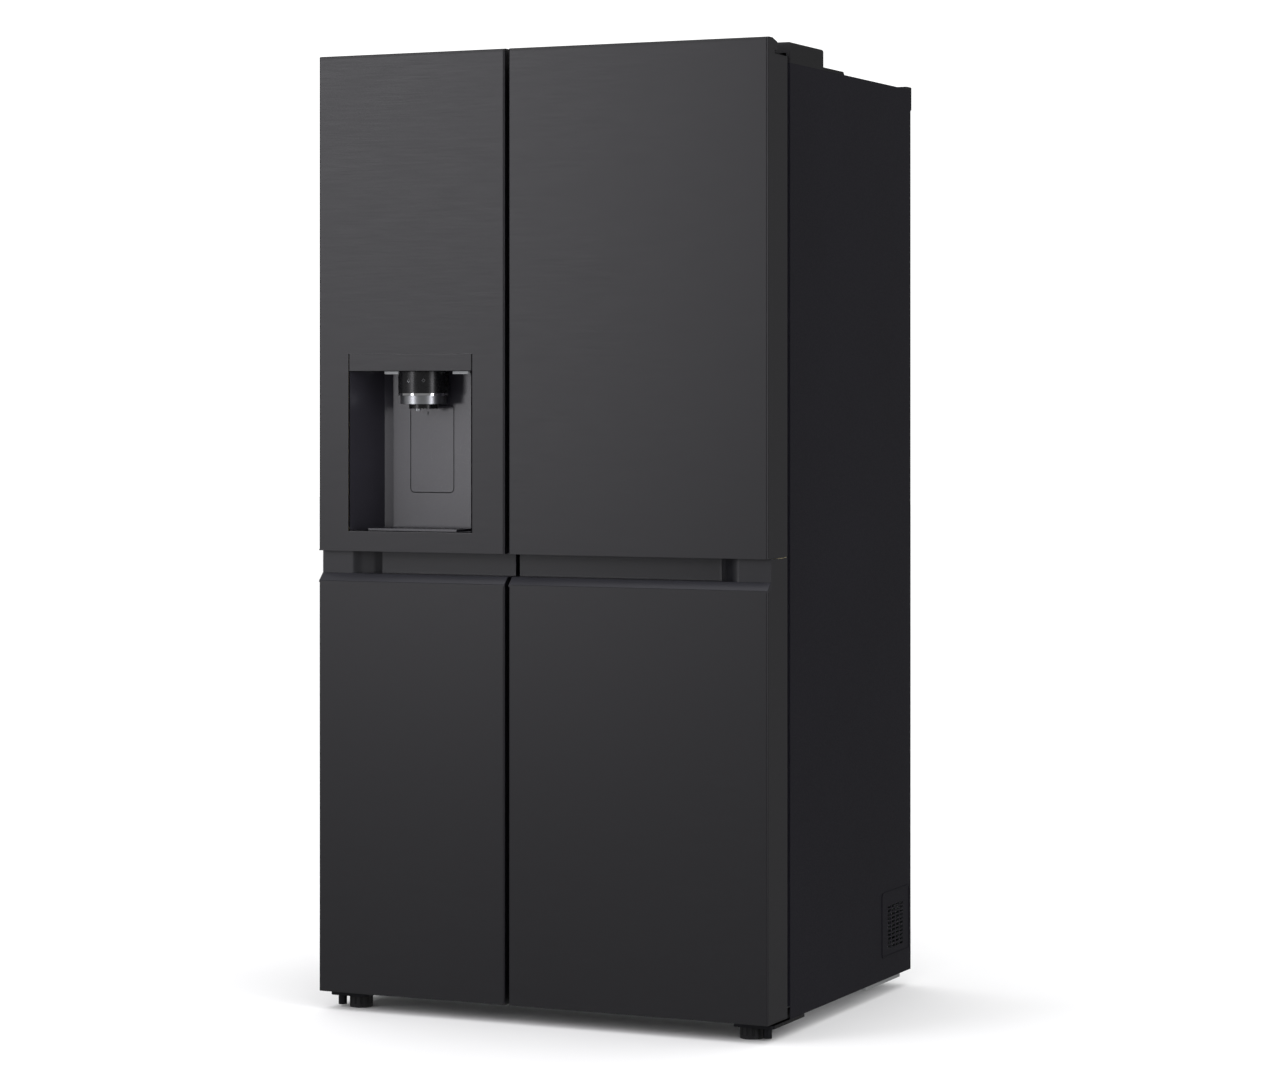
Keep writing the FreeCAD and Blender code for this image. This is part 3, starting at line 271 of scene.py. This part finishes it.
# %% Seal rubber
seal_pvc, tree, shader, place = start("extruded_grey_pvc", Sheen_Weight=0.15, IOR=1.5)
lines = add(tree, "TexNoise", {"Scale": 1.0, "Detail": 3.0},
            {"Vector": stretched(tree, place, 300, 900, 300)})
tree.links.new(between(tree, lines.outputs["Fac"], "#2C2C30", "#37373B"), shader.inputs["Base Color"])
tree.links.new(spread(tree, lines.outputs["Fac"], 0.55, 0.70), shader.inputs["Roughness"])
bumped(tree, shader, lines.outputs["Fac"], 0.05, 0.5)

# %% [markdown]
# **Clear plastic and glass.** Baskets and drawers are clear polystyrene with a cold tint; the shelves are
# toughened glass, greener, and clearer. Fine scratches show only as changes in roughness.

# %% Clear pieces
clear_bin, tree, shader, place = start("clear_polystyrene", Transmission_Weight=0.85, IOR=1.59)
wear = add(tree, "TexNoise", {"Scale": 60.0, "Detail": 6.0, "Roughness": 0.7}, {"Vector": place})
tree.links.new(between(tree, wear.outputs["Fac"], "#DCE8EF", "#EDF4F8"), shader.inputs["Base Color"])
tree.links.new(spread(tree, wear.outputs["Fac"], 0.03, 0.14), shader.inputs["Roughness"])

shelf_glass, tree, shader, place = start("toughened_glass", Transmission_Weight=0.9, IOR=1.52)
wear = add(tree, "TexNoise", {"Scale": 25.0, "Detail": 5.0}, {"Vector": place})
tree.links.new(between(tree, wear.outputs["Fac"], "#D9EBE4", "#E6F3EE"), shader.inputs["Base Color"])
tree.links.new(spread(tree, wear.outputs["Fac"], 0.0, 0.05), shader.inputs["Roughness"])


# %% [markdown]
# **Bare and plated metals.** Rolled, drawn or turned metal keeps lines in the direction it was worked. The
# function below takes that direction as three scales, small along the lines and large across them.

# %% Metals
def worked_metal(name, dark, light, smooth, rough, scales, depth_mm=0.02, **values):
    material, tree, shader, place = start(name, Metallic=1.0, **values)
    lines = add(tree, "TexNoise", {"Scale": 1.0, "Detail": 4.0}, {"Vector": stretched(tree, place, *scales)})
    tree.links.new(between(tree, lines.outputs["Fac"], dark, light), shader.inputs["Base Color"])
    tree.links.new(spread(tree, lines.outputs["Fac"], smooth, rough), shader.inputs["Roughness"])
    bumped(tree, shader, lines.outputs["Fac"], depth_mm, 0.4)
    return material


satin_silver = worked_metal("satin_anodised_aluminium", "#A9ABAE", "#BCBEC1", 0.30, 0.38, (90, 90, 1600))
worked_metal("bright_chrome", "#E4E4E6", "#EDEDEF", 0.05, 0.10, (60, 60, 60))
zinc_steel = worked_metal("black_zinc_plated_steel", "#2E2E31", "#3A3A3D", 0.35, 0.5, (120, 120, 120))
worked_metal("rolled_aluminium", "#B4B7BA", "#C6C9CC", 0.28, 0.4, (900, 60, 60))

black_enamel, tree, shader, place = start("black_enamelled_steel", Coat_Weight=0.3)
sag = add(tree, "TexNoise", {"Scale": 80.0, "Detail": 2.0}, {"Vector": place})
tree.links.new(between(tree, sag.outputs["Fac"], "#121214", "#1A1A1C"), shader.inputs["Base Color"])
tree.links.new(spread(tree, sag.outputs["Fac"], 0.25, 0.38), shader.inputs["Roughness"])
bumped(tree, shader, sag.outputs["Fac"], 0.1, 0.4)

foam, tree, shader, place = start("rigid_polyurethane_foam", Roughness=0.95)
cells = add(tree, "TexVoronoi", {"Scale": 900.0}, {"Vector": place})
tree.links.new(between(tree, cells.outputs["Distance"], "#D9C68C", "#E8DAAA"), shader.inputs["Base Color"])
bumped(tree, shader, cells.outputs["Distance"], 0.2, 0.6)

# %% [markdown]
# Every piece of the frame now gets its finish by name. Pieces that share a record slot mostly share a
# finish; a few are split, such as the dispenser's trim, which is a strip of the same steel as the door.

# %% Give the frame its finishes
finishes = {
    "brushed_black_coated_steel": ["door_upper_panel", "door_lower_panel", "dispenser_trim"],
    "black_powder_coat": ["case_wrapper", "front_frame"],
    "galvanised_steel": ["back_panel", "case_bottom", "compressor_tray", "machine_room_cover"],
    "sparked_black_abs": ["corner_bumpers", "hinge_covers", "top_cover", "left_foot", "right_foot"],
    "satin_charcoal_abs": ["door_caps"],
    "satin_graphite_abs": ["door_pocket"],
    "satin_black_abs": ["dispenser_housing", "dispenser_paddle", "drip_tray"],
    "polished_black_abs": ["dispenser_head"],
    "vacuum_formed_white_polystyrene": ["liner", "air_ducts"],
    "moulded_grey_abs": ["fan_motor", "condenser_fan", "auger_motor", "ice_maker", "ice_auger",
                         "water_valve"],
    "black_nylon": ["roller"],
    "extruded_grey_pvc": ["gasket"],
    "clear_polystyrene": ["baskets", "drawer", "crisper", "ice_bin"],
    "toughened_glass": ["glass_shelves"],
    "satin_anodised_aluminium": ["dispenser_collar", "water_nozzle"],
    "bright_chrome": ["dispenser_ring"],
    "black_zinc_plated_steel": ["upper_hinges", "lower_hinges", "base_frame", "roller_axles"],
    "rolled_aluminium": ["condenser", "evaporator"],
    "black_enamelled_steel": ["compressor"],
    "rigid_polyurethane_foam": ["foam"],
}
for node_name, piece in nodes.items():
    matches = [(len(ending), material) for material, endings in finishes.items()
               for ending in endings if node_name == ending or node_name.endswith(ending)]
    material = bpy.data.materials[max(matches)[1]]
    for piece_slot in piece.material_slots:
        piece_slot.material = material
print("finishes given to", len(nodes), "pieces")

# %% [markdown]
# ## Small parts
# The frame holds every part that matters to fit and motion. The pieces below are what a maker adds on top.
# Each starts as a primitive at its size and place, is shaped in edit mode, and then gets its finish and the
# body that it moves with.

# %% Frosted lamp lens, the last finish
lamp_lens, tree, shader, place = start("frosted_polycarbonate", IOR=1.58, Emission_Strength=0.05,
                                       Transmission_Weight=0.2)
frost = add(tree, "TexNoise", {"Scale": 900.0, "Detail": 2.0}, {"Vector": place})
tree.links.new(between(tree, frost.outputs["Fac"], "#9EA0A3", "#B2B4B7"), shader.inputs["Base Color"])
tree.links.new(spread(tree, frost.outputs["Fac"], 0.4, 0.55), shader.inputs["Roughness"])
shader.inputs["Emission Color"].default_value = hex_colour("#F2F4F6")
bumped(tree, shader, frost.outputs["Fac"], 0.03, 0.4)


def settle(piece, name, body, finish, angle=35):
    """Gives a shaped piece its name, finish and body, with its place moved into its mesh."""
    bpy.ops.object.transform_apply(location=True, rotation=True, scale=True)
    bpy.ops.object.shade_smooth_by_angle(angle=math.radians(angle))
    piece.name = piece.data.name = name
    piece.data.materials.clear()
    piece.data.materials.append(finish)
    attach(piece, body)
    return piece


def block(name, low, high, body, finish, bevel_mm=1.0):
    """Bevelled bar between two corners given in millimetres."""
    bpy.ops.object.select_all(action="DESELECT")
    middle = [(a + b) / 2 * MM for a, b in zip(low, high)]
    size = [(b - a) * MM for a, b in zip(low, high)]
    bpy.ops.mesh.primitive_cube_add(size=1, location=middle, scale=size)
    piece = bpy.context.object
    bpy.ops.object.transform_apply(location=False, rotation=False, scale=True)
    bpy.ops.object.mode_set(mode="EDIT")
    bpy.ops.mesh.select_all(action="SELECT")
    bpy.ops.mesh.bevel(offset=bevel_mm * MM, segments=3, affect="EDGES")
    bpy.ops.object.mode_set(mode="OBJECT")
    return settle(piece, name, body, finish)


def copied(piece, name, shift, body):
    """Copy with its own mesh, moved by a shift in millimetres."""
    twin = piece.copy()
    twin.data = piece.data.copy()
    twin.name = twin.data.name = name
    bpy.context.scene.collection.objects.link(twin)
    offset = Vector(shift) * MM
    for vertex in twin.data.vertices:
        vertex.co += offset
    twin.data.update()
    twin.parent = None
    twin.matrix_world.identity()
    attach(twin, body)
    return twin


def flat_ring(name, middle, turn, size, corner, line, push, body, finish):
    """Round-cornered flat ring, drawn out by the push; all lengths in millimetres."""
    bpy.ops.object.select_all(action="DESELECT")
    bpy.ops.mesh.primitive_plane_add(size=1, location=Vector(middle) * MM, rotation=turn)
    ring = bpy.context.object
    ring.scale = (size[0] * MM, size[1] * MM, 1)
    bpy.ops.object.transform_apply(location=False, rotation=True, scale=True)
    bpy.ops.object.mode_set(mode="EDIT")
    bpy.ops.mesh.select_all(action="SELECT")
    bpy.ops.mesh.bevel(offset=corner * MM, segments=6, affect="VERTICES")
    bpy.ops.mesh.select_all(action="SELECT")
    bpy.ops.mesh.inset(thickness=line * MM)
    bpy.ops.mesh.delete(type="FACE")
    bpy.ops.mesh.select_all(action="SELECT")
    bpy.ops.mesh.extrude_region_move(TRANSFORM_OT_translate={"value": Vector(push) * MM})
    bpy.ops.mesh.select_all(action="SELECT")
    bpy.ops.mesh.normals_make_consistent(inside=False)
    bpy.ops.object.mode_set(mode="OBJECT")
    return settle(ring, name, body, finish)


def pick_faces(piece, wanted):
    """Selects the faces for which wanted(centre, normal) is true, and stays in edit mode."""
    bpy.ops.object.mode_set(mode="EDIT")
    bpy.ops.mesh.select_mode(type="FACE")
    bpy.ops.mesh.select_all(action="DESELECT")
    bpy.ops.object.mode_set(mode="OBJECT")
    for face in piece.data.polygons:
        face.select = wanted(face.center, face.normal)
    bpy.ops.object.mode_set(mode="EDIT")


# %% [markdown]
# **Door seals.** A real seal is a hollow bellows that squashes between the door and the case. The frame's
# seal is a plain ring, so this one is drawn out from a flat ring in five short folds that step in and out.

# %% Door seals with bellows
def bellows(node, body):
    low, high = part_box(node)
    middle, size = (low + high) / 2, high - low
    bpy.ops.object.select_all(action="DESELECT")
    bpy.ops.mesh.primitive_plane_add(size=1, location=(middle.x, low.y, middle.z),
                                     rotation=(math.radians(90), 0, 0))
    seal = bpy.context.object
    seal.scale = (size.x, size.z, 1)
    bpy.ops.object.transform_apply(location=False, rotation=True, scale=True)
    bpy.ops.object.mode_set(mode="EDIT")
    bpy.ops.mesh.select_all(action="SELECT")
    bpy.ops.mesh.inset(thickness=18 * MM)
    bpy.ops.mesh.delete(type="FACE")
    bpy.ops.mesh.select_all(action="SELECT")
    folds, fold_in = 5, 2.4 * MM
    for k in range(folds):
        bpy.ops.mesh.extrude_region_move(TRANSFORM_OT_translate={"value": (0, size.y / folds, 0)})
        step = (1 - 2 * fold_in / size.x, 1, 1 - 2 * fold_in / size.z)
        if k % 2:
            step = tuple(1 / v for v in step)
        if k < folds - 1:
            bpy.ops.transform.resize(value=step, center_override=middle)
    bpy.ops.mesh.select_all(action="SELECT")
    bpy.ops.mesh.normals_make_consistent(inside=False)
    bpy.ops.object.mode_set(mode="OBJECT")
    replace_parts(settle(seal, node.replace("gasket", "bellows"), body, seal_pvc, 60), node)
    return seal


for side in ("freezer", "fridge"):
    seal = bellows(side + "_door_gasket", side + "_door")
    print(seal.name, len(seal.data.polygons), "faces")

# %% [markdown]
# **Dispenser lamps and touch marks.** Two slim lenses light the recess from its ceiling, one on each side
# of the head. On the head's glossy front sit two small raised marks: a drop for water, a cube for ice.

# %% Dispenser lamps
LAMP_LONG, LEFT_GAP, RIGHT_GAP = 34, 2, 14
low, high = (Vector(corner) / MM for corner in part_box("dispenser_housing"))
head_low, head_high = (Vector(corner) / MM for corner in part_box("dispenser_head"))
ceiling = head_high.z
lamp_y = (low.y + 52, low.y + 60)
for side, x0 in (("left", head_low.x - LEFT_GAP - LAMP_LONG), ("right", head_high.x + RIGHT_GAP)):
    x1 = x0 + LAMP_LONG
    lamp = block("dispenser_lamp_" + side, (x0, lamp_y[0], ceiling - 6), (x1, lamp_y[1], ceiling + 0.5),
                 "freezer_door", lamp_lens, 1.5)
    print(lamp.name, "length", round(x1 - x0), "mm")


# %% Touch marks on the head
def touch_mark(name, corners, radius_mm, angle, z):
    """Raised outline on the round front of the head, at an angle from its middle."""
    centre = Vector(((head_low.x + head_high.x) / 2, HEAD_Y, 0))
    reach = HEAD_RADIUS + 0.05
    spot = centre + Vector((math.sin(angle) * reach, -math.cos(angle) * reach, z))
    bpy.ops.object.select_all(action="DESELECT")
    bpy.ops.mesh.primitive_circle_add(vertices=corners, radius=radius_mm * MM, fill_type="NGON",
                                      location=spot * MM, rotation=(math.radians(90), 0, angle))
    mark = bpy.context.object
    bpy.ops.object.transform_apply(location=False, rotation=False, scale=True)
    bpy.ops.object.mode_set(mode="EDIT")
    bpy.ops.mesh.select_all(action="SELECT")
    bpy.ops.mesh.inset(thickness=0.55 * MM)
    bpy.ops.mesh.delete(type="FACE")
    if corners > 8:
        bpy.ops.object.mode_set(mode="OBJECT")
        top = max(v.co.y for v in mark.data.vertices)
        for vertex in mark.data.vertices:
            if vertex.co.y > 0:
                vertex.co.x *= 1 - 0.75 * vertex.co.y / top
                vertex.co.y *= 1.55
        bpy.ops.object.mode_set(mode="EDIT")
    bpy.ops.mesh.select_all(action="SELECT")
    bpy.ops.mesh.extrude_region_move(TRANSFORM_OT_translate={
        "value": (math.sin(angle) * 0.3 * MM, -math.cos(angle) * 0.3 * MM, 0)})
    bpy.ops.mesh.select_all(action="SELECT")
    bpy.ops.mesh.normals_make_consistent(inside=False)
    bpy.ops.object.mode_set(mode="OBJECT")
    return settle(mark, name, "freezer_door", satin_silver)


HEAD_RADIUS = (head_high.x - head_low.x) / 2
HEAD_Y = head_low.y + HEAD_RADIUS
touch_mark("water_mark", 32, 2.6, math.radians(-8), 1180)
touch_mark("ice_mark", 4, 3.4, math.radians(28), 1181)
print("head radius", round(HEAD_RADIUS, 1))

# %% [markdown]
# ** Painted shadow in the dispenser's gaps.** Near-black strips paint the shade in the joint between the recess and the door skin,
# and a near-black ring paints the shade in the gap round the paddle. From outside they read as thin dark
# outlines.

# %% Painted shadow strips
paddle_low, paddle_high = (Vector(corner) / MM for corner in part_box("dispenser_paddle"))
trim_low, trim_high = (Vector(corner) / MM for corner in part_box("dispenser_trim"))
# Four near-black strips round the recess opening: painted shadow in its joint with the door skin.
shadow_strip_front, shadow_strip_back, shadow_strip_width = trim_low.y - 0.15, trim_low.y + 1.4, 1.5
x0, x1, z0 = trim_low.x + 0.1, trim_high.x - 0.1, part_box("drip_tray")[0].z / MM
block("recess_painted_shadow_left", (x0, shadow_strip_front, z0 - shadow_strip_width), (x0 + shadow_strip_width, shadow_strip_back, trim_high.z), "freezer_door",
      painted_shadow_black, 0.4)
block("recess_painted_shadow_right", (x1 - shadow_strip_width, shadow_strip_front, z0 - shadow_strip_width), (x1, shadow_strip_back, trim_high.z), "freezer_door",
      painted_shadow_black, 0.4)
block("recess_painted_shadow_foot", (x0 + shadow_strip_width, shadow_strip_front, z0 - shadow_strip_width), (x1 - shadow_strip_width, shadow_strip_back, z0), "freezer_door",
      painted_shadow_black, 0.4)
block("recess_painted_shadow_top", (x0 + shadow_strip_width, shadow_strip_front + 1.2, trim_low.z - 1.3),
      (x1 - shadow_strip_width, shadow_strip_back + 1.2, trim_low.z), "freezer_door", painted_shadow_black, 0.4)
# Near-black ring set into the gap round the paddle: painted shadow in that gap.
middle = (paddle_low + paddle_high) / 2
flat_ring("paddle_painted_shadow", (middle.x, paddle_low.y + 0.8, middle.z), (math.radians(90), 0, 0),
          (paddle_high.x - paddle_low.x + 3.4, paddle_high.z - paddle_low.z + 3.4), 9.0, 1.3,
          (0, 1.5, 0), "freezer_door", painted_shadow_black)
print("bead width", shadow_strip_width, "mm")

# %% [markdown]
# **Lip strips.** The sloping lip that leads the fingers into each door's pocket is faced with a strip that
# is a little lighter and smoother than the pocket. It is a plane laid on the slope, thickened and bevelled.

# %% Lip strips
LIP_Z, LIP_RUN = 805.0, 15.0
face_y = cad_box[0][1] / MM
for side in ("freezer", "fridge"):
    panel_low, panel_high = (Vector(corner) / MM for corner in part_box(side + "_door_lower_panel"))
    bpy.ops.object.select_all(action="DESELECT")
    bpy.ops.mesh.primitive_plane_add(
        size=1, rotation=(math.radians(45), 0, 0),
        location=Vector(((panel_low.x + panel_high.x) / 2, face_y + LIP_RUN / 2, LIP_Z + LIP_RUN / 2)) * MM)
    strip = bpy.context.object
    strip.scale = ((panel_high.x - panel_low.x - 1.2) * MM, (LIP_RUN * math.sqrt(2) - 1.6) * MM, 1)
    bpy.ops.object.transform_apply(location=False, rotation=False, scale=True)
    bpy.ops.object.mode_set(mode="EDIT")
    bpy.ops.mesh.select_all(action="SELECT")
    bpy.ops.mesh.extrude_region_move(TRANSFORM_OT_translate={"value": (0, 0, 0.4 * MM),
                                                             "orient_type": "NORMAL"})
    bpy.ops.mesh.select_all(action="SELECT")
    bpy.ops.mesh.bevel(offset=0.15 * MM, segments=2, affect="EDGES")
    bpy.ops.mesh.select_all(action="SELECT")
    bpy.ops.mesh.normals_make_consistent(inside=False)
    bpy.ops.object.mode_set(mode="OBJECT")
    settle(strip, side + "_lip_strip", side + "_door", lip_abs)
print("lip strips laid")

# %% [markdown]
# **Side vent panel.** Round the slots near the foot of the right side the sheet is embossed: a raised
# border, pressed from inside. A flat plate is inset to make the border, and the border alone is kept.

# %% Side vent borders
VENT_Y, VENT_Z = 280, 134
VENT_SIZE = (126, 152)
case_low, case_high = (Vector(corner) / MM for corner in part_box("case_wrapper"))
for side, x, direction in (("right", case_high.x, 1), ("left", case_low.x, -1)):
    flat_ring("vent_border_" + side, (x, VENT_Y, VENT_Z), (0, math.radians(90), 0), VENT_SIZE, 9.0, 3.0,
              (direction * 1.0, 0, 0), "cabinet", case_paint)
print("vent borders on both sides")


# %% [markdown]
# **Screws.** Pan-head screws hold the hinge covers, the back and the machine-room cover. One is shaped
# with a rounded rim and a driver's socket, and the rest are copies of it.

# %% Screws
def screw_head(name, place_mm, turn, radius_mm, body):
    bpy.ops.object.select_all(action="DESELECT")
    bpy.ops.mesh.primitive_cylinder_add(vertices=24, radius=radius_mm * MM, depth=2.4 * MM,
                                        location=Vector(place_mm) * MM, rotation=turn)
    head = bpy.context.object
    bpy.ops.object.transform_apply(location=False, rotation=False, scale=True)
    pick_faces(head, lambda centre, normal: normal.z > 0.9)
    bpy.ops.mesh.bevel(offset=0.8 * MM, segments=3, affect="EDGES")
    bpy.ops.object.mode_set(mode="OBJECT")
    pick_faces(head, lambda centre, normal: normal.z > 0.99)
    bpy.ops.mesh.inset(thickness=0.28 * radius_mm * MM)
    bpy.ops.mesh.extrude_region_move(TRANSFORM_OT_translate={"value": (0, 0, -1.1 * MM),
                                                             "orient_type": "NORMAL"})
    bpy.ops.object.mode_set(mode="OBJECT")
    return settle(head, name, body, zinc_steel)


SIDE_X, INNER_X = 440, 150
SIDE_ROWS, COVER_ROW = (300, 660, 1020, 1380, 1740), 242
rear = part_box("back_panel")[1].y / MM
first = screw_head("back_screw_0", (-SIDE_X, rear + 0.6, SIDE_ROWS[0]), (math.radians(-90), 0, 0), 4.5,
                   "cabinet")
places = [(x, z) for x in (-SIDE_X, SIDE_X) for z in SIDE_ROWS]
places += [(x, COVER_ROW) for x in (-SIDE_X, -INNER_X, INNER_X, SIDE_X)]
places += [(x, SIDE_ROWS[-1]) for x in (-INNER_X, INNER_X)]
for number, (x, z) in enumerate(places[1:], 1):
    copied(first, "back_screw_%d" % number, (x + SIDE_X, 0, z - SIDE_ROWS[0]), "cabinet")
COVER_INSET = 46
cover_low, cover_high = (Vector(corner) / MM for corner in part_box("hinge_covers"))
cover_screw = screw_head(
    "cover_screw_left", (cover_low.x + COVER_INSET, cover_high.y - 30, cover_high.z - 0.6), (0, 0, 0), 4.0,
    "cabinet")
copied(cover_screw, "cover_screw_right", (cover_high.x - cover_low.x - 2 * COVER_INSET, 0, 0), "cabinet")
print("screws:", len(places) + 2)

# %% [markdown]
# ## Inside the compartments
# These show when the doors are open: a trim along the front of each glass shelf, a rim on each basket, and
# a lamp in each ceiling.

# %% Shelf trims
def solid_boxes(node):
    """Lowest and highest corner, in millimetres, of each loose part of a node that holds several."""
    mesh = nodes[node].data
    owner = list(range(len(mesh.vertices)))

    def root(i):
        while owner[i] != i:
            owner[i] = owner[owner[i]]
            i = owner[i]
        return i

    spots = {}
    for vertex in mesh.vertices:
        key = tuple(round(c, 5) for c in vertex.co)
        if key in spots:
            owner[root(vertex.index)] = root(spots[key])
        spots[key] = vertex.index
    for edge in mesh.edges:
        a, b = edge.vertices
        owner[root(a)] = root(b)
    groups = {}
    for vertex in mesh.vertices:
        groups.setdefault(root(vertex.index), []).append(vertex.co / MM)
    return sorted((tuple(min(c[i] for c in group) for i in range(3)),
                   tuple(max(c[i] for c in group) for i in range(3))) for group in groups.values())


for number, (a, b) in enumerate(solid_boxes("glass_shelves")):
    block("shelf_trim_%d" % number, (a[0] + 1, a[1] - 3.5, a[2] - 4), (b[0] - 1, a[1] + 11, b[2] + 3.5),
          "cabinet", white_hips, 1.4)
print("shelves trimmed:", number + 1)

# %% Basket rims
for side in ("freezer", "fridge"):
    for number, (a, b) in enumerate(solid_boxes(side + "_door_baskets")):
        block("%s_basket_rim_%d" % (side, number), (a[0] + 12, b[1] - 0.5, b[2] - 16),
              (b[0] - 12, b[1] + 1.6, b[2] + 0.6), side + "_door", satin_silver, 0.8)
    print(side, "basket rims:", number + 1)

# %% Ceiling lamps
for side in ("freezer", "fridge"):
    a, b = (Vector(corner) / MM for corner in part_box(side + "_liner"))
    middle = (a.x + b.x) / 2
    block(side + "_ceiling_lamp", (middle - 75, -80, b.z - 9), (middle + 75, -45, b.z - 1.5), "cabinet",
          lamp_lens, 2.5)
print("ceiling lamps set")

# %% [markdown]
# **Mains inlet.** The lead leaves low on the back through a moulded strain relief. The lead itself is not
# part of this model, so the bush is a closed boss with a stepped nose.

# %% Mains inlet boss
bpy.ops.object.select_all(action="DESELECT")
bpy.ops.mesh.primitive_cylinder_add(vertices=32, radius=13 * MM, depth=1.6 * MM,
                                    location=(-0.39, (rear + 0.8) * MM, 0.06),
                                    rotation=(math.radians(-90), 0, 0))
boss = bpy.context.object
for wide, tall in ((3.0, 0.0), (0.0, 1.6), (2.5, 0.0), (0.0, 0.8)):
    pick_faces(boss, lambda centre, normal: normal.z > 0.99 and Vector((centre.x, centre.y)).length < 1 * MM)
    if wide:
        bpy.ops.mesh.inset(thickness=wide * MM)
    else:
        bpy.ops.mesh.extrude_region_move(TRANSFORM_OT_translate={"value": (0, 0, tall * MM),
                                                                 "orient_type": "NORMAL"})
    bpy.ops.object.mode_set(mode="OBJECT")
settle(boss, "mains_inlet_boss", "cabinet", black_abs)
print("boss faces:", len(boss.data.polygons))
